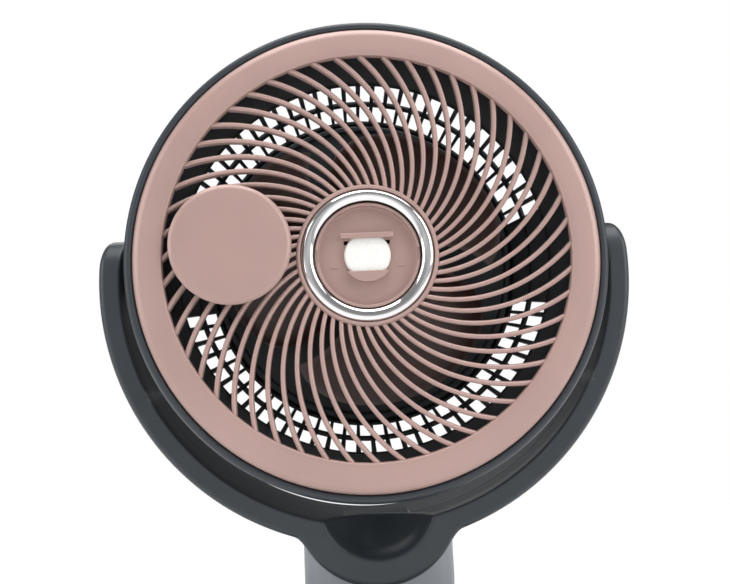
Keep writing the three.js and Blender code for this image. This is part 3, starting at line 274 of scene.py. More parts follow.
class Surface(Graph):
    """The shader of one material, with the patterns that the finishes share."""

    def __init__(self, name: str) -> None:
        """Starts an empty material.

        Args:
            name: The material's name.
        """
        self.material = bpy.data.materials.new(name)
        self.material.use_nodes = True
        super().__init__(self.material.node_tree)
        self.tree.nodes.clear()
        self.place = self.node("ShaderNodeTexCoord").outputs["Object"]

    def stretched(self, along: Sequence[float]) -> bpy.types.NodeSocket:
        """The place, scaled by a different number along each axis."""
        made = self.node("ShaderNodeMapping", {}, {"Vector": self.place, "Scale": tuple(along)})
        return made.outputs[0]

    def noise(self, size_mm: float, detail: float = 2.0, place: Optional[object] = None) -> Value:
        """Soft noise from 0 to 1, whose blotches are about size_mm across."""
        inputs = {"Vector": place or self.place, "Scale": 1 / (size_mm * MM), "Detail": detail}
        return self.value("ShaderNodeTexNoise", {}, inputs)

    def cells(self, size_mm: float, place: Optional[object] = None) -> Value:
        """Distance to the middle of the nearest of many cells, about size_mm apart."""
        inputs = {"Vector": place or self.place, "Scale": 1 / (size_mm * MM)}
        return self.value("ShaderNodeTexVoronoi", {}, inputs, "Distance")

    def rims(self) -> Value:
        """1 on outer edges, where handling polishes a moulding."""
        return self.value("ShaderNodeNewGeometry", {}, {}, "Pointiness").ease(0.515, 0.58)

    def blend(self, amount: Union[Value, float], first: object, second: object) -> bpy.types.NodeSocket:
        """Mixes two colours.

        Args:
            amount: 0 for the first colour, 1 for the second.
            first: A colour or a socket.
            second: A colour or a socket.

        Returns:
            The mixed colour's socket.
        """
        pair = {6: first, 7: second}
        inputs = {key: (*given, 1.0) if isinstance(given, tuple) else given for key, given in pair.items()}
        made = self.node("ShaderNodeMix", {"data_type": "RGBA"}, {0: amount, **inputs})
        return made.outputs[2]

    def bump(
        self, height: Value, depth_mm: float, under: Optional[object] = None
    ) -> bpy.types.NodeSocket:
        """Makes a normal from a height.

        Args:
            height: The height, 0 to 1.
            depth_mm: What a height of 1 stands for.
            under: A coarser normal that this one lies on, or None.

        Returns:
            The normal's socket.
        """
        inputs = {"Height": height, "Distance": depth_mm * MM, "Strength": 1.0}
        if under is not None:
            inputs["Normal"] = under
        return self.node("ShaderNodeBump", {}, inputs).outputs[0]

    def close(self, **inputs: object) -> bpy.types.Material:
        """Adds the shader itself and returns the material.

        Args:
            inputs: Socket values, with underscores for the spaces in their names.

        Returns:
            The finished material.
        """
        named = {key.replace("_", " "): given for key, given in inputs.items()}
        for key in ("Base Color", "Emission Color", "Coat Tint", "Sheen Tint"):
            if isinstance(named.get(key), tuple):
                named[key] = (*named[key], 1.0)
        named = {"Specular IOR Level" if key == "Specular" else key: given for key, given in named.items()}
        shader = self.node("ShaderNodeBsdfPrincipled", {}, named)
        self.node("ShaderNodeOutputMaterial", {}, {0: shader.outputs[0]})
        return self.material


@dataclass(frozen=True)
class Moulding:
    """Moulded plastic with a fine grain, slight tone changes and polished edges."""

    name: str
    colour: Colour
    roughness: float = 0.42
    grain_mm: float = 0.5
    grain_depth_mm: float = 0.012
    tone: float = 0.08
    edge: float = 0.12
    specular: float = 0.5

    def material(self) -> bpy.types.Material:
        """Builds the material.

        Returns:
            The finished material.
        """
        surface = Surface(self.name)
        drift = surface.noise(45.0, 3.0)
        speckle = surface.noise(self.grain_mm, 2.0)
        light = tuple(min(1.0, part * (1 + self.tone)) for part in self.colour)
        dark = tuple(part * (1 - self.tone) for part in self.colour)
        worn = tuple(part + (1 - part) * self.edge for part in self.colour)
        body = surface.blend(drift.ease(0.3, 0.7), dark, light)
        colour = surface.blend(surface.rims() * 0.5, body, worn)
        rough = self.roughness + (speckle - 0.5) * 0.06 + (drift - 0.5) * 0.05
        normal = surface.bump(speckle, self.grain_depth_mm)
        return surface.close(Base_Color=colour, Roughness=rough, Normal=normal, Specular=self.specular)


@dataclass(frozen=True)
class PearlPaint:
    """Satin paint with fine flakes in it, over plastic."""

    name: str
    colour: Colour
    flake: Colour
    roughness: float = 0.4
    metallic: float = 0.22

    def material(self) -> bpy.types.Material:
        """Builds the material.

        Returns:
            The finished material.
        """
        surface = Surface(self.name)
        drift = surface.noise(60.0, 2.0)
        flakes = surface.cells(0.35)
        grain = surface.noise(0.9, 3.0)
        deep = tuple(part * 0.94 for part in self.colour)
        body = surface.blend(drift.ease(0.3, 0.7), deep, self.colour)
        sparkle = (1 - flakes.ease(0.0, 0.45)) * 0.22
        colour = surface.blend(sparkle, body, self.flake)
        rough = self.roughness + (grain - 0.5) * 0.07 + (drift - 0.5) * 0.04
        metal = self.metallic + sparkle * 0.3
        normal = surface.bump(grain, 0.006)
        return surface.close(
            Base_Color=colour,
            Roughness=rough,
            Metallic=metal,
            Normal=normal,
            Coat_Weight=0.15,
            Coat_Roughness=0.25,
        )


@dataclass(frozen=True)
class Metal:
    """Bare or plated metal, with fine marks that may run along one axis."""

    name: str
    colour: Colour
    roughness: float
    marks: Spot = (1.0, 1.0, 1.0)
    mark_mm: float = 0.6
    mark_depth_mm: float = 0.002
    metallic: float = 1.0

    def material(self) -> bpy.types.Material:
        """Builds the material.

        Returns:
            The finished material.
        """
        surface = Surface(self.name)
        marks = surface.noise(self.mark_mm, 4.0, surface.stretched(self.marks))
        film = surface.noise(18.0, 3.0)
        dull = tuple(part * 0.86 for part in self.colour)
        colour = surface.blend(film.ease(0.35, 0.75) * 0.6, self.colour, dull)
        rough = self.roughness * (0.85 + marks * 0.3) + film.ease(0.5, 0.9) * 0.03
        normal = surface.bump(marks, self.mark_depth_mm)
        return surface.close(Base_Color=colour, Roughness=rough, Metallic=self.metallic, Normal=normal)


@dataclass(frozen=True)
class Felt:
    """Pressed felt: short fibres lying every way."""

    name: str
    colour: Colour

    def material(self) -> bpy.types.Material:
        """Builds the material.

        Returns:
            The finished material.
        """
        surface = Surface(self.name)
        lying = surface.noise(0.5, 4.0, surface.stretched((1.0, 1.0, 0.25)))
        crossing = surface.noise(0.5, 4.0, surface.stretched((0.25, 1.0, 1.0)))
        lumps = surface.noise(4.0, 2.0)
        fibres = (lying + crossing) * 0.5
        shade = tuple(part * 0.86 for part in self.colour)
        colour = surface.blend(fibres.ease(0.35, 0.65), shade, self.colour)
        normal = surface.bump(lumps, 0.12, surface.bump(fibres, 0.1))
        rough = 0.9 + fibres * 0.1
        return surface.close(
            Base_Color=colour,
            Roughness=rough,
            Normal=normal,
            Sheen_Weight=0.35,
            Sheen_Roughness=0.5,
            Specular=0.2,
        )


@dataclass(frozen=True)
class Board:
    """Glass-fibre circuit board with copper tracks under green lacquer."""

    name: str

    def material(self) -> bpy.types.Material:
        """Builds the material.

        Returns:
            The finished material.
        """
        surface = Surface(self.name)
        tracks = surface.cells(5.0).ease(0.4, 0.46)
        weave = surface.noise(0.7, 1.0)
        colour = surface.blend(tracks, linear(22, 84, 50), linear(48, 120, 70))
        rough = 0.35 + weave * 0.15
        return surface.close(Base_Color=colour, Roughness=rough, Normal=surface.bump(tracks, 0.03))


class Finish(Enum):
    """Every finish of the fan, under the record's name for its slot."""

    ROSE = "rose_paint"
    CHARCOAL = "charcoal_plastic"
    GRAPHITE = "graphite_plastic"
    NECK = "neck_grey"
    CHROME = "chrome_plate"
    WHEEL = "wheel_plastic"
    FELT = "felt"
    ZINC = "zinc_steel"
    ALLOY = "motor_alloy"
    IRON = "cast_iron"
    RUBBER = "foot_rubber"
    PANEL = "panel_gloss"
    BOARD = "circuit_board"
    ACETAL = "acetal"


RECIPES: dict[Finish, Union[Moulding, PearlPaint, Metal, Felt, Board]] = {
    Finish.ROSE: PearlPaint("rose_paint", linear(172, 143, 136), linear(214, 196, 190)),
    Finish.CHARCOAL: Moulding("charcoal_plastic", linear(44, 50, 56), 0.4),
    Finish.GRAPHITE: Moulding("graphite_plastic", linear(32, 37, 41), 0.46),
    Finish.NECK: Moulding("neck_grey", linear(118, 123, 129), 0.4, tone=0.04),
    Finish.CHROME: Metal("chrome_plate", linear(232, 231, 232), 0.07, mark_depth_mm=0.0006),
    Finish.WHEEL: Moulding("wheel_plastic", linear(66, 44, 39), 0.36),
    Finish.FELT: Felt("felt", linear(236, 235, 231)),
    Finish.ZINC: Metal("zinc_steel", linear(190, 192, 194), 0.3, (1.0, 0.12, 1.0)),
    Finish.ALLOY: Metal("motor_alloy", linear(176, 179, 182), 0.42, mark_mm=1.2, mark_depth_mm=0.02),
    Finish.IRON: Metal("cast_iron", linear(88, 90, 93), 0.62, mark_mm=1.6, mark_depth_mm=0.08),
    Finish.RUBBER: Moulding("foot_rubber", linear(34, 34, 36), 0.78, 0.7, 0.03, edge=0.03),
    Finish.PANEL: Moulding("panel_gloss", linear(22, 24, 28), 0.12, 3.0, 0.002, 0.05, 0.04),
    Finish.BOARD: Board("circuit_board"),
    Finish.ACETAL: Moulding("acetal", linear(226, 223, 214), 0.34, tone=0.03),
}


class Finishes:
    """Makes each material once."""

    def __init__(self) -> None:
        """Starts with none made."""
        self._made: dict[Finish, bpy.types.Material] = {}

    def get(self, finish: Finish) -> bpy.types.Material:
        """Gives the material of a finish, and makes it the first time.

        Args:
            finish: The finish.

        Returns:
            Its material.
        """
        if finish not in self._made:
            self._made[finish] = RECIPES[finish].material()
        return self._made[finish]


# ---------------------------------------------------------------------------------------------
# Meshes
# ---------------------------------------------------------------------------------------------


def soften(corners: Sequence[Corner], steps: int = 4) -> list[Flat]:
    """Rounds the corners of a closed outline.

    Args:
        corners: Radius and height of each corner, and the size of its rounding if it has one.
        steps: Straight pieces in each rounding.

    Returns:
        The outline's points.
    """
    points: list[Flat] = []
    count = len(corners)
    for i, corner in enumerate(corners):
        here = Vector(corner[:2])
        size = corner[2] if len(corner) > 2 else 0.0
        before = Vector(corners[i - 1][:2]) - here
        after = Vector(corners[(i + 1) % count][:2]) - here
        reach = min(size, before.length * 0.49, after.length * 0.49)
        if reach < 0.02:
            points.append(tuple(here))
            continue
        start = here + before.normalized() * reach
        end = here + after.normalized() * reach
        for k in range(steps + 1):
            t = k / steps
            at = start * (1 - t) ** 2 + here * 2 * t * (1 - t) + end * t**2
            points.append(tuple(at))
    return points


class Part:
    """A mesh in the making."""

    def __init__(self, name: str) -> None:
        """Starts an empty mesh.

        Args:
            name: The piece's name.
        """
        self.name = name
        self.mesh = bmesh.new()

    def turned(
        self,
        corners: Sequence[Corner],
        segments: int = 128,
        centre: Flat = (0.0, 0.0),
        axis: Axis = Axis.HEAD,
        steps: int = 4,
    ) -> "Part":
        """Adds a solid turned from a closed outline.

        Args:
            corners: Radius and height of each corner, with the size of its rounding.
            segments: Faces round the piece.
            centre: Where the axis is, in the two directions across it.
            axis: The line it is turned about.
            steps: Straight pieces in each rounding.

        Returns:
            This part.
        """
        outline = soften(corners, steps)
        rings = []
        for radius, height in outline:
            around = 1 if radius < 1e-6 else segments
            ring = []
            for k in range(around):
                angle = math.tau * k / segments
                across = centre[0] + radius * math.cos(angle)
                over = centre[1] + radius * math.sin(angle)
                spot = (across, height, over) if axis is Axis.HEAD else (across, over, height)
                ring.append(self.mesh.verts.new(spot))
            rings.append(ring)
        for here, there in zip(rings, rings[1:] + rings[:1]):
            self._join_rings(here, there)
        return self

    def _join_rings(self, here: list[bmesh.types.BMVert], there: list[bmesh.types.BMVert]) -> None:
        """Skins the space between two rings of points, either of which may be one point.

        Args:
            here: One ring.
            there: The other ring.
        """
        count = max(len(here), len(there))
        if count == 1:
            return
        for k in range(count):
            after = (k + 1) % count
            near = [here[k % len(here)], here[after % len(here)]]
            loop = near + [there[after % len(there)], there[k % len(there)]]
            unique = [v for i, v in enumerate(loop) if v not in loop[:i]]
            self.mesh.faces.new(unique)

    def skin(self, rings: Sequence[Sequence[Spot]], ends: Ends = Ends.OPEN) -> "Part":
        """Adds a skin through closed rings of points.

        Args:
            rings: The rings, in order, each with as many points as the next.
            ends: How the first and last ring are closed. Strips run between a ring's two halves.

        Returns:
            This part.
        """
        rows = [[self.mesh.verts.new(tuple(spot)) for spot in ring] for ring in rings]
        for here, there in zip(rows, rows[1:]):
            self._join_rings(here, there)
        if ends is Ends.FLAT:
            self.mesh.faces.new(rows[0])
            self.mesh.faces.new(list(reversed(rows[-1])))
        if ends is Ends.STRIPS:
            count = len(rows[0])
            for row in (rows[0], rows[-1]):
                for i in range(count // 2 - 1):
                    self.mesh.faces.new([row[i], row[i + 1], row[count - 2 - i], row[count - 1 - i]])
        return self

    def slab(
        self,
        outline: Sequence[Flat],
        low: float,
        high: float,
        place: Callable[[float, float, float], Spot],
        bevel: float = 0.0,
    ) -> "Part":
        """Adds a flat plate.

        Args:
            outline: The plate's corners, in order.
            low: One face.
            high: The other face.
            place: Turns two coordinates and a height into a point.
            bevel: Size of the rounding of its outer edges.

        Returns:
            This part.
        """
        lower = [self.mesh.verts.new(place(a, b, low)) for a, b in outline]
        upper = [self.mesh.verts.new(place(a, b, high)) for a, b in outline]
        caps = [self.mesh.faces.new(lower), self.mesh.faces.new(list(reversed(upper)))]
        self._join_rings(lower, upper)
        if bevel > 0:
            edges = list({edge for cap in caps for edge in cap.edges})
            settings = {"segments": 3, "profile": 0.5, "affect": "EDGES", "clamp_overlap": True}
            bmesh.ops.bevel(self.mesh, geom=edges, offset=bevel, **settings)
        return self

    def block(self, low: Sequence[float], high: Sequence[float], bevel: float = 0.3) -> "Part":
        """Adds a box with rounded edges.

        Args:
            low: Its lowest corner.
            high: Its highest corner.
            bevel: Size of the rounding.

        Returns:
            This part.
        """
        middle = [(a + b) / 2 for a, b in zip(low, high)]
        size = [b - a for a, b in zip(low, high)]
        grow = Matrix.Translation(middle) @ Matrix.Diagonal((*size, 1.0))
        made = bmesh.ops.create_cube(self.mesh, size=1.0, matrix=grow)
        edges = list({edge for vert in made["verts"] for edge in vert.link_edges})
        bmesh.ops.bevel(self.mesh, geom=edges, offset=bevel, segments=3, profile=0.5, affect="EDGES")
        return self

    def object(self, moved: Matrix = HEAD, sharp_deg: float = 35.0) -> bpy.types.Object:
        """Ends the mesh and puts it in the scene.

        Args:
            moved: Where the piece goes, in metres, after its sizes are in metres.
            sharp_deg: Edges that turn by more than this stay sharp.

        Returns:
            The new object, at the origin.
        """
        bmesh.ops.remove_doubles(self.mesh, verts=self.mesh.verts, dist=1e-4)
        bmesh.ops.recalc_face_normals(self.mesh, faces=self.mesh.faces)
        data = bpy.data.meshes.new(self.name)
        self.mesh.to_mesh(data)
        self.mesh.free()
        data.transform(moved @ Matrix.Scale(MM, 4))
        smooth(data, sharp_deg)
        made = bpy.data.objects.new(self.name, data)
        bpy.context.scene.collection.objects.link(made)
        return made


def smooth(data: bpy.types.Mesh, sharp_deg: float) -> None:
    """Shades a mesh smoothly, except over edges that turn by more than sharp_deg."""
    data.polygons.foreach_set("use_smooth", [True] * len(data.polygons))
    data.set_sharp_from_angle(angle=math.radians(sharp_deg))


def settled(made: bpy.types.Object) -> bpy.types.Object:
    """Turns an object's modifiers into plain mesh.

    Args:
        made: The object.

    Returns:
        The same object, with its result as its mesh.
    """
    shapes = bpy.context.evaluated_depsgraph_get()
    data = bpy.data.meshes.new_from_object(made.evaluated_get(shapes), depsgraph=shapes)
    made.modifiers.clear()
    made.data = data
    return made


def carved(
    made: bpy.types.Object, cutters: Sequence[bpy.types.Object], sharp_deg: float = 35.0
) -> bpy.types.Object:
    """Cuts the shapes of other objects out of one, and removes them.

    Args:
        made: The object that is cut.
        cutters: What is cut out of it.
        sharp_deg: Edges that turn by more than this stay sharp.

    Returns:
        The cut object, whose flat faces are shaded flat.
    """
    for cutter in cutters:
        step = made.modifiers.new("cut", "BOOLEAN")
        step.object = cutter
        step.solver = "EXACT"
    settled(made)
    for cutter in cutters:
        bpy.data.objects.remove(cutter)
    smooth(made.data, sharp_deg)
    made.modifiers.new("even", "WEIGHTED_NORMAL").keep_sharp = True
    return settled(made)


class Repeat(Graph):
    """A geometry node tree that makes a repeated shape, with named inputs for its sizes."""

    def __init__(self, name: str, numbers: Iterable[str], counts: Iterable[str] = ()) -> None:
        """Starts a tree.

        Args:
            name: The tree's name.
            numbers: Names of its inputs that are sizes.
            counts: Names of its inputs that are whole numbers.
        """
        super().__init__(bpy.data.node_groups.new(name, "GeometryNodeTree"))
        face = self.tree.interface
        for entry in numbers:
            face.new_socket(name=entry, in_out="INPUT", socket_type="NodeSocketFloat")
        for entry in counts:
            face.new_socket(name=entry, in_out="INPUT", socket_type="NodeSocketInt")
        face.new_socket(name="Finish", in_out="INPUT", socket_type="NodeSocketMaterial")
        face.new_socket(name="Geometry", in_out="OUTPUT", socket_type="NodeSocketGeometry")
        self.entry = self.node("NodeGroupInput")

    def given(self, name: str) -> Value:
        """One of the tree's inputs."""
        return Value(self, self.entry.outputs[name])

    def point(self, x: object, y: object, z: object) -> bpy.types.NodeSocket:
        """A point from three numbers."""
        return self.node("ShaderNodeCombineXYZ", {}, {0: x, 1: y, 2: z}).outputs[0]

    def rounded_bar(
        self, width: object, depth: object, rounding: object, steps: int
    ) -> bpy.types.NodeSocket:
        """Makes the outline of a bar's section.

        Args:
            width: Its width.
            depth: Its depth.
            rounding: Radius of its corners.
            steps: Points in each corner.

        Returns:
            The outline's socket.
        """
        flat = self.node("GeometryNodeCurvePrimitiveQuadrilateral", {}, {"Width": width, "Height": depth})
        made = self.node(
            "GeometryNodeFilletCurve",
            {"mode": "POLY"},
            {"Curve": flat.outputs[0], "Radius": rounding, "Count": steps, "Limit Radius": True},
        )
        return made.outputs[0]

    def swept(self, path: object, section: object) -> bpy.types.NodeSocket:
        """Makes a closed bar that follows a path, upright across it.

        Args:
            path: The path's socket.
            section: The bar's outline.

        Returns:
            The bar's socket.
        """
        upright = self.node("GeometryNodeSetCurveNormal", {"mode": "Z_UP"}, {"Curve": path})
        inputs = {"Curve": upright.outputs[0], "Profile Curve": section, "Fill Caps": True}
        return self.node("GeometryNodeCurveToMesh", {}, inputs).outputs[0]

    def round_axis(
        self, shape: object, count: object, turn: Value, keep: Optional[Value] = None
    ) -> bpy.types.NodeSocket:
        """Copies a shape round the Z axis.

        Args:
            shape: What is copied.
            count: How many.
            turn: The angle of each copy, in radians, from its index.
            keep: 1 for each copy that stays, or None for all.

        Returns:
            The copies' socket.
        """
        points = self.node("GeometryNodePoints", {}, {"Count": count})
        inputs = {"Points": points.outputs[0], "Instance": shape, "Rotation": self.point(0.0, 0.0, turn)}
        if keep is not None:
            inputs["Selection"] = keep
        return self.node("GeometryNodeInstanceOnPoints", {}, inputs).outputs[0]

    def index(self) -> Value:
        """The number of each copy, from 0."""
        return self.value("GeometryNodeInputIndex")

    def close(self, shapes: Sequence[object]) -> None:
        """Ends the tree.

        Args:
            shapes: Sockets of what the tree makes.
        """
        joined = self.node("GeometryNodeJoinGeometry")
        for shape in shapes:
            self.tree.links.new(shape, joined.inputs[0])
        real = self.node("GeometryNodeRealizeInstances", {}, {0: joined.outputs[0]})
        finish = self.given("Finish")
        dressed = self.node("GeometryNodeSetMaterial", {}, {"Geometry": real.outputs[0], "Material": finish})
        self.node("NodeGroupOutput", {}, {0: dressed.outputs[0]})

    def grow(
        self, name: str, sizes: dict[str, object], moved: Matrix, sharp_deg: float = 40.0
    ) -> bpy.types.Object:
        """Runs the tree and keeps its result as a plain mesh.

        Args:
            name: The new piece's name.
            sizes: A value for each named input. Lengths are in millimetres.
            moved: Where the piece goes, in metres.
            sharp_deg: Edges that turn by more than this stay sharp.

        Returns:
            The new object, at the origin.
        """
        made = bpy.data.objects.new(name, bpy.data.meshes.new(name))
        bpy.context.scene.collection.objects.link(made)
        step = made.modifiers.new("repeat", "NODES")
        step.node_group = self.tree
        for entry in self.tree.interface.items_tree:
            if entry.in_out == "INPUT" and entry.name in sizes:
                step[entry.identifier] = sizes[entry.name]
        settled(made)
        made.data.transform(moved @ Matrix.Scale(MM, 4))
        smooth(made.data, sharp_deg)
        return made


# ---------------------------------------------------------------------------------------------
# The sub-assemblies
# ---------------------------------------------------------------------------------------------


class Assembly:
    """What every sub-assembly does with its finished pieces."""

    body = "head"

    def __init__(self, finishes: Finishes) -> None:
        """Remembers where materials come from.

        Args:
            finishes: The maker of materials.
        """
        self.finishes = finishes

    def fit(
        self, made: bpy.types.Object, finish: Finish, *nodes: str, body: Optional[str] = None
    ) -> bpy.types.Object:
        """Dresses a piece and lets it ride.

        Args:
            made: The piece.
            finish: Its finish.
            nodes: The frame's nodes that it stands for.
            body: The body that it rides on, or None for this assembly's own.

        Returns:
            The piece.
        """
        made.data.materials.clear()
        made.data.materials.append(self.finishes.get(finish))
        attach(made, body or self.body)
        if nodes:
            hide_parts(*nodes)
        log.info("%s: %d faces, on %s", made.name, len(made.data.polygons), body or self.body)
        return made


@dataclass(frozen=True)
class GrilleSizes:
    """Sizes of the front grille, in millimetres and degrees."""

    face: float = -70.0
    inner: float = 143.0
    outer: float = 164.0
    rib_count: int = 52
    rib_width: float = 3.3
    rib_depth: float = 7.0
    sweep_deg: float = 37.4
    phase_deg: float = 0.3
    rib_sink: float = 2.4
    rib_into_hub: float = 1.6
    rib_into_ring: float = 1.3
    rib_rise: float = 0.85
    rib_points: int = 26
    hub: float = 52.0
    hub_wall: float = 3.3
    hub_face: float = -50.0
    hub_back: float = -39.0
    lip: float = 40.5


class Grille(Assembly):
    """The front grille: its ring, swept ribs and hub ring."""

    sizes = GrilleSizes()

    def build(self) -> None:
        """Makes the ring, the hub ring and the ribs."""
        s = self.sizes
        ring = Part("grille_ring").turned(
            [
                (s.inner, s.face + 5.5),
                (s.inner, s.face + 0.5, 0.9),
                (s.inner + 4, s.face, 2.5),
                (s.outer - 4.2, s.face + 0.5, 2.6),
                (s.outer - 0.2, s.face + 2.6, 2.2),
                (s.outer, s.face + 10, 0.4),
                (s.outer - 2.6, s.face + 10),
                (s.outer - 2.6, s.face + 5.6, 2),
                (s.outer - 6, s.face + 3.6, 2),
                (s.inner + 2.6, s.face + 5, 0.6),
            ],
            256,
        )
        self.fit(ring.object(), Finish.ROSE, "front_grille")
        bore = s.hub - s.hub_wall
        hub = Part("grille_hub").turned(
            [
                (bore, s.hub_face - 1.0, 0.5),
                (s.hub - 1.2, s.hub_face - 1.5, 0.9),
                (s.hub, s.hub_face + 0.4, 1.4),
                (s.hub, s.hub_back, 0.3),
                (s.lip, s.hub_back),
                (s.lip, s.hub_back - 2.1),
                (bore, s.hub_back - 2.1),
            ],
            160,
        )
        self.fit(hub.object(), Finish.ROSE)
        self.fit(self.ribs(), Finish.ROSE)

    def ribs(self) -> bpy.types.Object:
        """Makes the ribs, each along a spiral that falls back from the ring to the hub.

        Returns:
            All ribs as one object.
        """
        s = self.sizes
        numbers = ["Hub", "Ring", "Width", "Depth", "Sweep", "Phase", "Hub face", "Rise"]
        tree = Repeat("swept_ribs", numbers, ["Count"])
        start = tree.given("Hub") - s.rib_into_hub
        end = tree.given("Ring") + s.rib_into_ring
        line = tree.node("GeometryNodeCurvePrimitiveLine")
        fine = tree.node("GeometryNodeResampleCurve", {}, {"Curve": line.outputs[0], "Count": s.rib_points})
        share = tree.value("GeometryNodeSplineParameter")
        radius = start + (end - start) * share
        length = tree.given("Ring") - tree.given("Hub")
        along = (radius - tree.given("Hub")) / length
        kept = tree.value("ShaderNodeClamp", {}, {"Value": along})
        height = tree.given("Hub face") + tree.given("Rise") * kept**s.rib_rise - tree.given("Depth") * 0.5
        angle = tree.given("Phase") + tree.given("Sweep") * (tree.given("Ring") - radius) / length
        spot = tree.point(radius * angle.sine(), radius * angle.cosine(), height)
        path = tree.node("GeometryNodeSetPosition", {}, {"Geometry": fine.outputs[0], "Position": spot})
        section = tree.rounded_bar(tree.given("Width"), tree.given("Depth"), tree.given("Width") * 0.48, 4)
        rib = tree.swept(path.outputs[0], section)
        turn = tree.index() * (-math.tau) / tree.given("Count")
        tree.close([tree.round_axis(rib, tree.given("Count"), turn)])
        sizes = {
            "Hub": s.hub,
            "Ring": s.inner,
            "Width": s.rib_width,
            "Depth": s.rib_depth,
            "Sweep": math.radians(s.sweep_deg),
            "Phase": math.radians(s.phase_deg),
            "Hub face": -s.hub_face,
            "Rise": s.hub_face - s.face - s.rib_sink,
            "Count": s.rib_count,
            "Finish": self.finishes.get(Finish.ROSE),
        }
        return tree.grow("grille_ribs", sizes, HEAD @ FACING)


def at_head(x: float, z: float, y: float) -> Spot:
    """Places a plate that faces the front."""
    return x, y, z


def at_floor(x: float, y: float, z: float) -> Spot:
    """Places a plate that lies flat."""
    return x, y, z


@dataclass(frozen=True)
class CupSizes:
    """Sizes of the scent cup in the hub, and of its cap, in millimetres."""

    radius: float = 36.3
    wall: float = 2.1
    rim: float = -48.5
    floor: float = -42.0
    flange_outer: float = 46.4
    flange_front: float = -38.7
    back: float = -36.6
    pad: float = 17.0
    pad_face: float = -46.3
    pad_back: float = -42.3
    clip_low: float = 12.4
    clip_high: float = 16.4
    clip_half: float = 19.4
    pocket_lip: float = -11.6
    notch: float = 9.0
    notch_depth: float = 3.25
    window_x: float = 14.0
    window_half: float = 3.0
    window_low: float = 8.4
    window_high: float = 11.4
    tick_start: float = 21.4
    tick_end: float = 27.0
    tick_low: float = -8.4
    tick_high: float = -7.2
    clip_thick: float = 2.2
    play: float = 0.3
    sink: float = 0.2
    chrome_face: float = -50.0
    chrome_deep: float = 8.0
    chrome_inner: float = 39.5
    chrome_outer: float = 48.4
    chrome_crown: float = 2.6
    cap: float = 42.4
    cap_skirt: float = 35.6
    cap_skirt_wall: float = 1.8
    cap_x: float = -96.7
    cap_z: float = 9.0
    cap_back: float = -5.0
    cap_thick: float = 3.4
    cap_sink: float = 0.9


